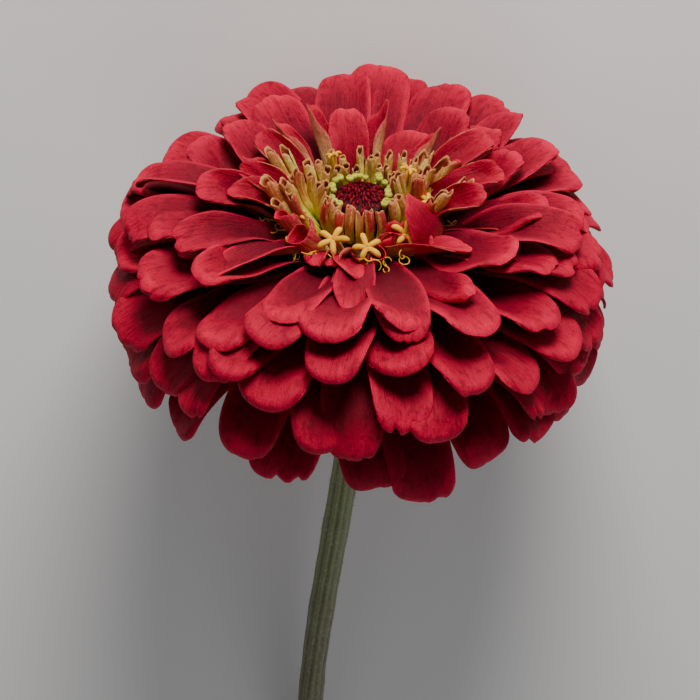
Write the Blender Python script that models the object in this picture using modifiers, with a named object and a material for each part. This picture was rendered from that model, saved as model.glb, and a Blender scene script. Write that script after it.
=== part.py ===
"""Double zinnia, cut and laid down: stem, receptacle, bracts, disc florets and ray florets.

Every piece is modelled around the head's own axis (local Z, out of the disc, with local -Y
the side that faces up when the flower lies) and is parented to one empty that lays the
flower on its stem end and its lower rays. Lengths are in metres, +Z is up.
"""
import math
from dataclasses import dataclass

import bpy
import bmesh
import numpy as np
from mathutils import Vector

MM = 0.001
COLLECTION = "zinnia_flower"

# Driving dimensions.
HEAD_TILT = math.radians(16.0)      # slope of the head axis above the table
HEAD_HEIGHT = 51.0 * MM             # disc centre above the table
HEAD_FORWARD = 79.1 * MM            # disc centre from the middle of the whole flower
STEM_RADIUS = 2.6 * MM              # at the cut end
STEM_TOP_RADIUS = 3.0 * MM
STEM_TOP = -28.6 * MM               # below the disc centre, along the head axis
PETAL_THICKNESS = 0.5 * MM
SEAT_GAP = 0.35 * MM                # between pieces that touch
TABLE_CLEARANCE = 0.25 * MM         # mid-surface of a pressed ray above the table
PRESS_SLOPE = 0.3                   # how much of a ray's sag stays where the table bends it

RED = (0.50, 0.012, 0.035)
YOUNG_RED = (0.42, 0.03, 0.05)
TAN = (0.55, 0.36, 0.16)
GOLD = (0.78, 0.44, 0.06)
LIME = (0.62, 0.62, 0.12)
MAROON = (0.09, 0.005, 0.012)
GREEN = (0.12, 0.17, 0.05)
PALE_GREEN = (0.30, 0.33, 0.12)


@dataclass(frozen=True)
class Whorl:
    """One ring of ray florets: its profile in millimetres and degrees, and its azimuths."""

    base: tuple          # radius and height where the claws meet the receptacle
    tip: tuple           # radius and height of the blade tips
    rise: float          # slope of the blade at the claw, above the horizontal
    droop: float         # slope of the blade at its tip
    width: float         # widest part of the blade
    azimuths: tuple      # degrees from the side that faces up, counted in pairs


@dataclass(frozen=True)
class Fluted:
    """A ring of crowded florets as one solid: its section, flutes and extent."""

    section: tuple       # radius and height of each corner, in millimetres
    outer: tuple         # 1 where the corner follows the flute, 0 where it doesn't
    flute: tuple         # radius and height added at each groove
    count: int           # florets around the span
    span: tuple          # first and last azimuth in degrees

WHORLS = (
    Whorl((11.0, -9.2), (36.0, 0.5), 42, -5, 12.5,
          (-170, -145, -122, -97, -57, -2, 34, 56, 83, 104, 123, 144)),
    Whorl((11.5, -10.8), (42.0, -3.0), 36, -15, 14.0,
          (-140, -113, -85, -46, -21, 11, 62, 86, 110, 132, 153, 176)),
    Whorl((11.8, -12.3), (45.5, -7.0), 30, -26, 14.5,
          (-172, -150, -126, -100, -75, -6, 33, 62, 89, 112, 138, 163)),
    Whorl((11.9, -13.8), (48.0, -12.0), 24, -38, 15.0,
          (-150, -117, -84, -61, -39, -20, 14, 55, 103, 125, 148, 171)),
    Whorl((11.8, -15.4), (49.5, -19.0), 18, -52, 15.2,
          (-174, -140, -100, -52, -33, -5, 26, 54, 80, 107, 134, 160)),
    Whorl((11.5, -17.2), (49.0, -27.0), 12, -64, 15.5,
          (-152, -110, -67, -44, -22, 9, 36, 66, 95, 122, 148, 176)),
    Whorl((11.0, -19.3), (47.0, -35.5), 6, -74, 14.0,
          (-166, -123, -80, -55, -30, -11, 22, 44, 74, 104, 134, 164)),
    Whorl((10.3, -21.7), (43.5, -43.0), 0, -82, 14.2,
          (-172, -130, -90, -52, -21, 0, 20, 40, 68, 98, 128, 158)),
)
YOUNG_RAYS = Whorl((10.6, -7.6), (24.0, 5.0), 56, 15, 8.0,
                   (-160, -138, -112, -82, 98, 122, 150, 174))
BLADE_ROWS = (0.0, 0.07, 0.27, 0.47, 0.67, 0.87, 1.0)
WEB_STEP = 14.0                     # degrees of web to a face
WELD = 1e-6

INVOLUCRE = Fluted(((5.9, -28.4), (6.8, -29.0), (11.2, -26.4), (14.2, -23.7), (13.4, -23.2),
                    (9.9, -24.6)), (0, 0, 1, 1, 1, 0), (-0.7, -0.5), 10, (0, 360))
BUD_RING = Fluted(((4.7, 0.9), (5.3, 0.25), (5.95, 0.9), (5.3, 1.6)), (0, 0, 1, 1),
                  (-0.25, -0.5), 14, (0, 360))
ROLLED_INNER = Fluted(((6.6, -5.7), (8.3, -5.7), (8.7, 3.2), (6.9, 3.4)), (0, 1, 1, 1),
                      (-0.5, -1.0), 15, (0, 360))
ROLLED_OUTER = Fluted(((8.9, -6.4), (10.0, -7.0), (11.6, -1.9), (16.6, 2.9), (14.8, 4.1),
                       (10.0, -1.0)), (0, 0, 1, 1, 1, 0), (-0.5, -0.9), 14, (64, 296))

STAR_AZIMUTHS = {"left": -23, "middle": 4, "right": 37}
STAR_BASE = (9.2, -7.3)
STAR_TOP = (14.0, -1.4)
STAR_TUBE = (0.45 * MM, 0.75 * MM)
STAR_REACH = (1.1 * MM, 2.9 * MM)
STAR_RIM = 0.5 * MM

RECEPTACLE_OUTLINE = ((0.0, -28.1), (5.2, -28.1), (8.8, -24.2), (10.1, -20.6), (10.9, -17.0),
                      (11.15, -14.0), (10.9, -11.6), (10.4, -9.6), (9.5, -8.2), (7.0, -6.9),
                      (0.0, -6.5))
CHAFF_OUTLINE = ((0.0, -6.1), (5.2, -6.1), (5.9, -4.0), (5.6, -0.3), (4.6, 0.0), (2.4, 0.5),
                 (0.0, 0.6))
LATHE_STEPS = 20


def start_empty():
    """Remove every object and mesh that the new file holds."""
    for item in list(bpy.data.objects):
        bpy.data.objects.remove(item, do_unlink=True)
    for mesh in list(bpy.data.meshes):
        bpy.data.meshes.remove(mesh)


def make_material(name, colour, roughness):
    """Return a Principled material with this colour and roughness."""
    material = bpy.data.materials.new(name)
    material.use_nodes = True
    shader = material.node_tree.nodes["Principled BSDF"]
    shader.inputs["Base Color"].default_value = (*colour, 1.0)
    shader.inputs["Roughness"].default_value = roughness
    shader.inputs["Metallic"].default_value = 0.0
    material.diffuse_color = (*colour, 1.0)
    return material


def make_head_frame():
    """Return the empty that lays the flower down: its Z is the head axis."""
    parts = bpy.data.collections.new(COLLECTION)
    bpy.context.scene.collection.children.link(parts)
    frame = bpy.data.objects.new("head_frame", None)
    frame.location = (0.0, HEAD_FORWARD, HEAD_HEIGHT)
    frame.rotation_euler = (HEAD_TILT - math.pi / 2, 0.0, 0.0)
    parts.objects.link(frame)
    return frame


def add_object(name, data, parent, material):
    """Link a named object under the head frame with one material."""
    data.materials.append(material)
    item = bpy.data.objects.new(name, data)
    item.parent = parent
    bpy.data.collections[COLLECTION].objects.link(item)
    return item


def mesh_from_bmesh(name, shape):
    """Turn a bmesh into a mesh with its faces outward."""
    bmesh.ops.recalc_face_normals(shape, faces=shape.faces[:])
    mesh = bpy.data.meshes.new(name)
    shape.to_mesh(mesh)
    shape.free()
    mesh.shade_smooth()
    return mesh


def around_axis(azimuth, radius, height):
    """Place points at an azimuth from local -Y, a radius and a height."""
    return np.stack([radius * np.sin(azimuth), -radius * np.cos(azimuth),
                     height + 0.0 * azimuth], axis=-1)


def profile_points(whorl, along):
    """Radius and height along a blade: a cubic curve with the whorl's end slopes."""
    start = np.array(whorl.base) * MM
    end = np.array(whorl.tip) * MM
    reach = 0.38 * np.linalg.norm(end - start)
    rise, droop = math.radians(whorl.rise), math.radians(whorl.droop)
    leave = start + reach * np.array([math.cos(rise), math.sin(rise)])
    arrive = end - reach * np.array([math.cos(droop), math.sin(droop)])
    t = along[:, None]
    return ((1 - t) ** 3 * start + 3 * (1 - t) ** 2 * t * leave
            + 3 * (1 - t) * t ** 2 * arrive + t ** 3 * end)


def blade_half_width(along, widest):
    """Half-width along a ray: a narrow claw that widens to a blade with a round tip."""
    claw = 0.09
    swell = np.sin(np.clip(along / 0.78, 0, 1) * math.pi / 2) ** 1.6
    rounding = np.sqrt(np.clip(1 - (np.clip(along - 0.78, 0, 1) / 0.245) ** 2, 0, 1))
    return 0.5 * widest * MM * (claw * 2 + (1 - claw * 2) * swell) * rounding


def table_depth(whorl):
    """Depth below the disc centre that a whorl's lowest side would reach unpressed."""
    curve = profile_points(whorl, np.linspace(0, 1, 60))
    return float(np.max(curve[:, 0] * math.cos(HEAD_TILT) - curve[:, 1] * math.sin(HEAD_TILT)))


def press_on_table(points, depth):
    """Bend points that would sink below the table up onto it, keeping their order."""
    up = np.array([0.0, -math.cos(HEAD_TILT), math.sin(HEAD_TILT)])
    height = HEAD_HEIGHT + points @ up
    pressed = TABLE_CLEARANCE + PRESS_SLOPE * (height - (HEAD_HEIGHT - depth))
    lift = np.maximum(pressed - height, 0.0)
    return points + lift[:, None] * up


def smallest_gap(azimuths):
    """Return the smallest angle in degrees between neighbours around a full turn."""
    ring = sorted(azimuths)
    return min((after - here) % 360 for here, after in zip(ring, ring[1:] + ring[:1]))


def blade_edge(whorl, azimuth, along, side):
    """Return the azimuth of a point on a blade: side runs from -1 to 1 across it.

    A blade is never so wide that it touches its neighbour in the same whorl.
    """
    radius = profile_points(whorl, along)[:, 0]
    room = math.radians(smallest_gap(whorl.azimuths)) / 2 * radius - SEAT_GAP
    half = np.minimum(blade_half_width(along, whorl.width), room)
    return math.radians(azimuth) + side * half / radius


def lay_grid(shape, whorl, columns, rows, angle_at):
    """Add a grid on the whorl's surface of revolution.

    rows holds how far along the profile each row of vertices is, and angle_at gives the
    azimuth of a vertex from its distance along and its place across, from -1 to 1.
    """
    made = bmesh.ops.create_grid(shape, x_segments=columns, y_segments=len(rows) - 1, size=1.0)
    verts = made["verts"]
    plan = np.array([vert.co for vert in verts])
    along = np.interp(plan[:, 1], np.linspace(-1, 1, len(rows)), rows)
    curve = profile_points(whorl, along)
    points = around_axis(angle_at(along, plan[:, 0]), curve[:, 0], curve[:, 1])
    points = press_on_table(points, max(table_depth(whorl), HEAD_HEIGHT))
    for vert, point in zip(verts, points):
        vert.co = Vector(point)


def make_blades(name, whorl, azimuths, parent, material):
    """Make a node of neighbouring rays, thickened to both sides of their mid-surface.

    A narrow web along the receptacle joins the claws, so the node is one closed body.
    """
    shape = bmesh.new()
    for azimuth in azimuths:
        lay_grid(shape, whorl, 2, BLADE_ROWS,
                 lambda along, side, turn=azimuth: blade_edge(whorl, turn, along, side))
    for first, second in zip(azimuths, azimuths[1:]):
        def between(along, side, ends=(first, second)):
            start = blade_edge(whorl, ends[0], along, 1)
            stop = blade_edge(whorl, ends[1], along, -1)
            return start + (stop - start) * (side + 1) / 2
        steps = max(2, round((second - first) / WEB_STEP))
        lay_grid(shape, whorl, steps, BLADE_ROWS[:2], between)
    bmesh.ops.remove_doubles(shape, verts=shape.verts[:], dist=WELD)
    item = add_object(name, mesh_from_bmesh(name, shape), parent, material)
    solid = item.modifiers.new("thickness", "SOLIDIFY")
    solid.thickness = PETAL_THICKNESS
    solid.offset = 0.0
    return item


def make_ray_whorls(parent):
    """Make the eight whorls of open rays, two neighbouring rays to a node."""
    red = make_material("ray_red", RED, 0.6)
    for number, whorl in enumerate(WHORLS, start=1):
        ring = sorted(whorl.azimuths)
        pairs = [ring[index:index + 2] for index in range(0, len(ring), 2)]
        for letter, pair in zip("abcdef", pairs):
            make_blades(f"ray_pair_{number}{letter}", whorl, pair, parent, red)


def make_turned(name, outline, parent, material):
    """Turn an outline of radius and height in millimetres about the head axis."""
    shape = bmesh.new()
    verts = [shape.verts.new((radius * MM, 0.0, height * MM)) for radius, height in outline]
    for first, second in zip(verts, verts[1:]):
        shape.edges.new((first, second))
    mesh = bpy.data.meshes.new(name)
    shape.to_mesh(mesh)
    shape.free()
    item = add_object(name, mesh, parent, material)
    screw = item.modifiers.new("lathe", "SCREW")
    screw.steps = LATHE_STEPS
    screw.render_steps = LATHE_STEPS
    screw.use_merge_vertices = True
    screw.merge_threshold = 1e-6
    screw.use_normal_calculate = True
    return item


def make_tubes(name, routes, radii, parent, material):
    """Make a node of closed tubes: one poly spline with tapered radii for each route."""
    curve = bpy.data.curves.new(name, "CURVE")
    curve.dimensions = "3D"
    curve.bevel_depth = 1.0
    curve.bevel_resolution = 1
    curve.use_fill_caps = True
    curve.resolution_u = 1
    curve.render_resolution_u = 0
    for route in routes:
        spline = curve.splines.new("POLY")
        spline.points.add(len(route) - 1)
        for point, place, radius in zip(spline.points, route, radii):
            point.co = (*place, 1.0)
            point.radius = radius
    return add_object(name, curve, parent, material)


def make_fluted(name, ring, parent, material):
    """Make a ring of crowded florets or bracts as one fluted solid.

    Its section is swept around the head axis, through every second section pushed in and
    lowered by the flute, and it is capped where the ring is open.
    """
    start, stop = ring.span
    closed = stop - start >= 360
    turns = np.radians(np.linspace(start, stop, ring.count * 2 + 1))
    turns = turns[:-1] if closed else turns
    shape = bmesh.new()
    loops = []
    for number, turn in enumerate(turns):
        section = np.array(ring.section) * MM
        if number % 2:
            section = section + np.array(ring.flute) * MM * np.array(ring.outer)[:, None]
        places = around_axis(np.full(len(section), turn), section[:, 0], section[:, 1])
        loops.append([shape.verts.new(place) for place in places])
    neighbours = list(zip(loops, loops[1:]))
    if closed:
        neighbours.append((loops[-1], loops[0]))
    for here, there in neighbours:
        for corner in range(len(here)):
            after = (corner + 1) % len(here)
            shape.faces.new((here[corner], here[after], there[after], there[corner]))
    if not closed:
        shape.faces.new(loops[0])
        shape.faces.new(loops[-1])
    return add_object(name, mesh_from_bmesh(name, shape), parent, material)


def make_star(name, azimuth, parent, material):
    """Make one open disc floret: a slim tube that flares into five lobes."""
    lobes = 5
    angle = np.radians(np.array([azimuth, azimuth], dtype=float))
    ends = around_axis(angle, np.array([STAR_BASE[0], STAR_TOP[0]]) * MM,
                       np.array([STAR_BASE[1], STAR_TOP[1]]) * MM)
    base, top = Vector(ends[0]), Vector(ends[1])
    shape = bmesh.new()
    bmesh.ops.create_cone(shape, cap_ends=True, segments=2 * lobes, depth=(top - base).length,
                          radius1=STAR_TUBE[0], radius2=STAR_TUBE[1])
    cap = max((face for face in shape.faces if len(face.verts) > 4),
              key=lambda face: face.calc_center_median().z)
    for _ in range(2):
        cap = bmesh.ops.extrude_discrete_faces(shape, faces=[cap])["faces"][0]
        for number, vert in enumerate(cap.verts):
            reach = STAR_REACH[number % 2]
            turn = math.atan2(vert.co.y, vert.co.x)
            vert.co = Vector((reach * math.cos(turn), reach * math.sin(turn),
                              vert.co.z + STAR_RIM))
    bmesh.ops.rotate(shape, verts=shape.verts[:], cent=Vector(),
                     matrix=(top - base).to_track_quat("Z", "Y").to_matrix())
    bmesh.ops.translate(shape, verts=shape.verts[:], vec=(base + top) / 2)
    return add_object(name, mesh_from_bmesh(name, shape), parent, material)


def make_stem(parent):
    """Make the cut stem as a tapering tube that bends gently to one side."""
    length = (HEAD_HEIGHT - STEM_RADIUS * math.cos(HEAD_TILT)) / math.sin(HEAD_TILT)
    sideways = (0.0, -0.6, -2.2, -5.0, -8.2, -10.4, -11.2, -11.0, -10.2)
    heights = np.linspace(STEM_TOP, -length, len(sideways))
    route = [(side * MM, 0.0, height) for side, height in zip(sideways, heights)]
    radii = np.linspace(STEM_TOP_RADIUS, STEM_RADIUS, len(sideways))
    green = make_material("stem_green", GREEN, 0.65)
    return make_tubes("stem", [route], radii, parent, green)


def main():
    """Build every piece of the flower and lay it down."""
    start_empty()
    head = make_head_frame()
    make_stem(head)
    make_turned("receptacle", RECEPTACLE_OUTLINE, head,
                make_material("receptacle_green", PALE_GREEN, 0.6))
    make_fluted("involucre_bracts", INVOLUCRE, head, make_material("bract_green", GREEN, 0.6))
    make_turned("chaff_disc", CHAFF_OUTLINE, head, make_material("chaff_maroon", MAROON, 0.7))
    make_fluted("disc_floret_buds", BUD_RING, head, make_material("bud_lime", LIME, 0.45))
    gold = make_material("star_gold", GOLD, 0.5)
    for side, azimuth in STAR_AZIMUTHS.items():
        make_star(f"disc_floret_{side}", azimuth, head, gold)
    tan = make_material("rolled_tan", TAN, 0.6)
    make_fluted("rolled_florets_inner", ROLLED_INNER, head, tan)
    make_fluted("rolled_florets_outer", ROLLED_OUTER, head, tan)
    young = make_material("young_ray_red", YOUNG_RED, 0.6)
    for side, sign in (("left", -1), ("right", 1)):
        azimuths = [azimuth for azimuth in YOUNG_RAYS.azimuths if azimuth * sign > 0]
        make_blades(f"young_rays_{side}", YOUNG_RAYS, azimuths, head, young)
    make_ray_whorls(head)


main()
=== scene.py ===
"""Looks of a double zinnia, cut and laid down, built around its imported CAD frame.

All florets are worked out around the head's own axis, in millimetres: X to the right, Y to
the back and Z out of the disc, so azimuth 0 is the side that faces up as the flower lies.
`Head.to_world` lays them down, and `Head.press` bends what would sink below the table.
"""
from __future__ import annotations

import logging
import math
from dataclasses import dataclass, field, replace
from enum import Enum

import bpy
import numpy as np
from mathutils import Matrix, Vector

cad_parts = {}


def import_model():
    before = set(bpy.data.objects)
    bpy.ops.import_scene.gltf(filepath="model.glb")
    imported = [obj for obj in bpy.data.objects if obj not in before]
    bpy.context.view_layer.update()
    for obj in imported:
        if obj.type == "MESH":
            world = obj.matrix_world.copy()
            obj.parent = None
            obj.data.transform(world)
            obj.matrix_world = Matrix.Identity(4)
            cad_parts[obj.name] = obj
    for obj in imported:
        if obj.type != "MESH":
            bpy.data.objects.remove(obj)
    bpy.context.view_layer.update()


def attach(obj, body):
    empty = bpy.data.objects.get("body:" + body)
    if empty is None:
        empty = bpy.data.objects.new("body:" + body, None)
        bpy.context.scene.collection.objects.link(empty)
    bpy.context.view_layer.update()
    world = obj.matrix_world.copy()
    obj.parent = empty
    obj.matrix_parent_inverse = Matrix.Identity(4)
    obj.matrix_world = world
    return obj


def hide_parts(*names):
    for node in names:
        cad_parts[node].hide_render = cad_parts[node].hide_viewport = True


LOG = logging.getLogger("zinnia")
MM = 0.001
BODY = "root"
UP = np.array([0.0, 0.0, 1.0])      # along the head axis, out of the disc

Array = np.ndarray
Colour = tuple[float, float, float]
Socket = bpy.types.NodeSocket


class Slot(Enum):
    """Names of the material slots."""

    STEM = "stem"
    RECEPTACLE = "receptacle"
    BRACTS = "bracts"
    CHAFF = "chaff"
    BUDS = "buds"
    OPEN_DISC = "open_disc_florets"
    ROLLED = "rolled_florets"
    YOUNG_RAYS = "young_rays"
    RAYS = "ray_florets"


# --------------------------------------------------------------------------- the head frame

@dataclass(frozen=True)
class Head:
    """Where the head lies, and how the table bends what is under it.

    Attributes:
        centre: Disc centre in the row's metres, as in the CAD.
        tilt: Slope of the head axis above the table, in radians.
        clearance: Lowest height in millimetres of a pressed mid-surface.
        press_slope: Share of a ray's sag that stays where the table bends it.
        press_blend: Millimetres over which the bend eases in.
    """

    centre: tuple[float, float, float] = (0.0, 0.0791, 0.051)
    tilt: float = math.radians(16.0)
    clearance: float = 0.3
    press_slope: float = 0.3
    press_blend: float = 1.5

    @property
    def axes(self) -> Array:
        """Rows are the row-frame directions of local X, Y and Z."""
        sine, cosine = math.sin(self.tilt), math.cos(self.tilt)
        return np.array([[1.0, 0.0, 0.0], [0.0, sine, -cosine], [0.0, cosine, sine]])

    def to_world(self, points: Array) -> Array:
        """Turn head millimetres into the row's metres."""
        return points @ self.axes * MM + np.array(self.centre)

    def height(self, points: Array) -> Array:
        """Return heights above the table in millimetres of head points."""
        return (points @ self.axes)[..., 2] + self.centre[2] / MM

    def press(self, points: Array, depth: float) -> Array:
        """Bend points that would sink below the table up onto it, keeping their order.

        The height becomes the larger of itself and a shallow ramp that reaches the
        clearance where the piece would lie deepest.

        Args:
            points: (..., 3) head millimetres.
            depth: How far below the disc centre the piece reaches unpressed.

        Returns:
            The bent points.
        """
        height = self.height(points)
        stand = self.centre[2] / MM
        ramp = self.clearance + self.press_slope * (height - (stand - max(depth, stand)))
        gap = ramp - height
        blend = self.press_blend
        lift = np.where(gap > blend, gap, np.clip(gap + blend, 0, None) ** 2 / (4 * blend))
        return points + lift[..., None] * self.axes[:, 2]


def unit(vectors: Array) -> Array:
    """Return vectors scaled to length 1."""
    return vectors / np.linalg.norm(vectors, axis=-1, keepdims=True)


def spoke(azimuth: float) -> Array:
    """Return the direction that points out from the axis at an azimuth in radians."""
    return np.array([math.sin(azimuth), -math.cos(azimuth), 0.0])


def around_axis(azimuth: Array, radius: Array, height: Array) -> Array:
    """Place points by azimuth from the front in radians, radius and height."""
    return np.stack([radius * np.sin(azimuth), -radius * np.cos(azimuth),
                     height + 0.0 * azimuth], axis=-1)


# --------------------------------------------------------------------------- mesh building

@dataclass
class Skin:
    """A growing mesh: points in millimetres around the head axis, quads and two attributes.

    Attributes:
        points: Arrays of vertex positions.
        faces: Arrays of four vertex indices, into the points gathered so far.
        plan: For each vertex, millimetres across, millimetres along, and 1 on the face side.
        rank: For each vertex, 0 to 1 along, 0 to 1 from the mid-line, and the piece's tone.
    """

    points: list[Array] = field(default_factory=list)
    faces: list[Array] = field(default_factory=list)
    plan: list[Array] = field(default_factory=list)
    rank: list[Array] = field(default_factory=list)
    count: int = 0

    def add(self, points: Array, faces: Array, plan: Array, rank: Array) -> None:
        """Append one closed surface.

        Args:
            points: (n, 3) positions in millimetres.
            faces: (m, 4) indices into these points.
            plan: (n, 3) distances across and along, and the side.
            rank: (n, 3) shares along and across, and the tone.
        """
        self.points.append(points)
        self.faces.append(faces + self.count)
        self.plan.append(plan)
        self.rank.append(rank)
        self.count += len(points)

    def build(self, name: str, head: Head, material: bpy.types.Material, slot: Slot,
              *nodes: str) -> None:
        """Lay the gathered points down and make the finished piece.

        Args:
            name: The piece's name.
            head: The frame that turns head millimetres into the row's metres.
            material: Its finish.
            slot: Its material slot; not used.
            nodes: The CAD nodes that it stands for.
        """
        points = head.to_world(np.concatenate(self.points))
        quads = np.concatenate(self.faces)
        mesh = bpy.data.meshes.new(name)
        triangles = quads[:, 2] == quads[:, 3]
        sizes = np.where(triangles, 3, 4)
        starts = np.concatenate([[0], np.cumsum(sizes)[:-1]])
        keep = np.ones(quads.shape, dtype=bool)
        keep[:, 3] = ~triangles
        mesh.vertices.add(len(points))
        mesh.vertices.foreach_set("co", points.astype(np.float32).ravel())
        mesh.loops.add(int(sizes.sum()))
        mesh.loops.foreach_set("vertex_index", quads[keep].astype(np.int32))
        mesh.polygons.add(len(quads))
        mesh.polygons.foreach_set("loop_start", starts.astype(np.int32))
        mesh.update(calc_edges=True)
        mesh.validate()
        for label, rows in (("plan", self.plan), ("rank", self.rank)):
            layer = mesh.attributes.new(label, "FLOAT_VECTOR", "POINT")
            layer.data.foreach_set("vector", np.concatenate(rows).astype(np.float32).ravel())
        mesh.shade_smooth()
        item = bpy.data.objects.new(name, mesh)
        bpy.context.scene.collection.objects.link(item)
        mesh.materials.append(material)
        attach(item, BODY)
        if nodes:
            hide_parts(*nodes)


def grid_faces(rows: int, columns: int, wrap: bool = False) -> Array:
    """Return the quads of a grid of points stored row by row.

    Args:
        rows: Number of rows of points.
        columns: Number of points in a row.
        wrap: Whether the last column joins the first.

    Returns:
        (m, 4) indices, facing along rows cross columns.
    """
    row = np.arange(rows - 1)[:, None]
    column = np.arange(columns if wrap else columns - 1)[None, :]
    after = (column + 1) % columns
    here = row * columns + column
    return np.stack([here, row * columns + after, (row + 1) * columns + after,
                     (row + 1) * columns + column], axis=-1).reshape(-1, 4)


def surface_normals(grid: Array) -> Array:
    """Return unit normals of a (rows, columns, 3) grid: along the rows cross the columns."""
    along = np.gradient(grid, axis=0)
    across = np.gradient(grid, axis=1)
    normal = np.cross(along, across)
    return normal / np.maximum(np.linalg.norm(normal, axis=-1, keepdims=True), 1e-9)


def leaf_shell(grid: Array, thickness: Array) -> tuple[Array, Array]:
    """Close a thin leaf: its face side, its back a thickness below, and a rim between.

    Args:
        grid: (rows, columns, 3) mid-surface, its normal on the face side.
        thickness: (rows, columns) millimetres from face to back.

    Returns:
        Points, face side first, and quads that face outwards.
    """
    rows, columns = grid.shape[:2]
    offset = surface_normals(grid) * thickness[..., None] / 2
    points = np.concatenate([(grid + offset).reshape(-1, 3), (grid - offset).reshape(-1, 3)])
    front = grid_faces(rows, columns)[:, ::-1]
    back = grid_faces(rows, columns) + rows * columns
    index = np.arange(rows * columns).reshape(rows, columns)
    loop = np.concatenate([index[0, :-1], index[:-1, -1], index[-1, :0:-1], index[:0:-1, 0]])
    after = np.roll(loop, -1)
    rim = np.stack([loop, after, after + rows * columns, loop + rows * columns], axis=-1)
    return points, np.concatenate([front, back, rim])


def add_leaf(skin: Skin, grid: Array, thickness: Array, plan: tuple[Array, Array],
             rank: tuple[Array, Array, float], reverse: float = 0.0) -> None:
    """Close a leaf and add it to a skin, with the same rank on both sides.

    Args:
        skin: The mesh that grows.
        grid: (rows, columns, 3) mid-surface.
        thickness: (rows, columns) millimetres.
        plan: Millimetres across and along.
        rank: Share along, nearness to the edge, and tone.
        reverse: How much of the face's colour the back takes.
    """
    shell, faces = leaf_shell(grid, thickness)
    flat = np.zeros(grid.shape[:2])
    front = np.stack([plan[0] + flat, plan[1] + flat, flat + 1.0], axis=-1).reshape(-1, 3)
    ranks = np.stack([part + flat for part in rank], axis=-1).reshape(-1, 3)
    skin.add(shell, faces, np.concatenate([front, front * (1.0, 1.0, reverse)]),
             np.concatenate([ranks, ranks]))


def leaf_frames(azimuth: Array, radius: Array, height: Array,
                turn: Array) -> tuple[Array, Array, Array]:
    """Return a leaf's mid-line and the directions across it and out of its face.

    Args:
        azimuth: (n,) azimuths of the mid-line in radians.
        radius: (n,) radii in millimetres.
        height: (n,) heights in millimetres.
        turn: (n,) twist about the mid-line in radians.

    Returns:
        Three (n, 3) arrays: points, unit directions across and unit directions up.
    """
    line = around_axis(azimuth, radius, height)
    tangent = unit(np.gradient(line, axis=0))
    level = np.stack([np.cos(azimuth), np.sin(azimuth), 0 * azimuth], axis=-1)
    level = unit(level - tangent * np.sum(level * tangent, axis=1, keepdims=True))
    upright = np.cross(tangent, level)
    side = level * np.cos(turn)[:, None] + upright * np.sin(turn)[:, None]
    return line, side, np.cross(tangent, side)


def sweep_leaf(frames: tuple[Array, Array, Array], along: Array, across: Array, half: Array,
               bend: Array, raised: Array | float = 0.0) -> Array:
    """Lay cross-sections along a mid-line; each is an arc of a circle of flat width 2 half.

    A point a share u across stands half sin(bend u)/bend to the side and
    half (1 - cos(bend u))/bend towards the face.

    Args:
        frames: Mid-line, directions across and directions up.
        along: (rows, columns) share along the mid-line.
        across: (rows, columns) share across, from -1 to 1.
        half: (rows, columns) flat half-width in millimetres.
        bend: (rows, columns) half-angle of the arc in radians.
        raised: Millimetres added towards the face.

    Returns:
        (rows, columns, 3) points.
    """
    share = np.linspace(0, 1, len(frames[0]))
    pick = along.ravel()
    line, side, up = (np.stack([np.interp(pick, share, part[:, axis]) for axis in range(3)],
                               axis=-1).reshape(*along.shape, 3) for part in frames)
    bend = np.where(np.abs(bend) < 1e-3, 1e-3, bend)
    sideways = half * np.sin(bend * across) / bend
    upward = half * (1 - np.cos(bend * across)) / bend + raised
    return line + side * sideways[..., None] + up * upward[..., None]


def smooth_step(value: Array) -> Array:
    """Return 0 below 0, 1 above 1, and a smooth cubic between."""
    clipped = np.clip(value, 0.0, 1.0)
    return clipped * clipped * (3.0 - 2.0 * clipped)


def close_rings(grid: Array, ends: Array) -> tuple[Array, Array]:
    """Close a stack of rings with a point at each end.

    Args:
        grid: (rings, sides, 3) points.
        ends: (2, 3) points below the first ring and above the last.

    Returns:
        Points and outward quads; the last two corners of a cap's quads are the same point.
    """
    rings, sides = grid.shape[:2]
    here = np.arange(sides)
    after = (here + 1) % sides
    last = (rings - 1) * sides
    low = np.full(sides, rings * sides)
    bottom = np.stack([after, here, low, low], axis=-1)
    top = np.stack([here + last, after + last, low + 1, low + 1], axis=-1)
    return (np.concatenate([grid.reshape(-1, 3), ends]),
            np.concatenate([grid_faces(rings, sides, wrap=True), bottom, top]))


def tube_along(path: Array, radius: Array, sides: int) -> tuple[Array, Array]:
    """Carry a circle that stands square to a path along it, and close both ends.

    Args:
        path: (n, 3) points.
        radius: (n,) radii.
        sides: Points around the circle.

    Returns:
        Points and outward quads.
    """
    tangent = unit(np.gradient(path, axis=0))
    guide = (0.0, 0.0, 1.0) if abs(tangent[0, 2]) < 0.9 else (1.0, 0.0, 0.0)
    first = unit(np.cross(tangent, guide))
    second = np.cross(tangent, first)
    angle = np.arange(sides)[None, :, None] * 2 * math.pi / sides
    ring = first[:, None] * np.cos(angle) + second[:, None] * np.sin(angle)
    return close_rings(path[:, None] + ring * radius[:, None, None], path[[0, -1]])


# --------------------------------------------------------------------------- ray florets

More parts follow.
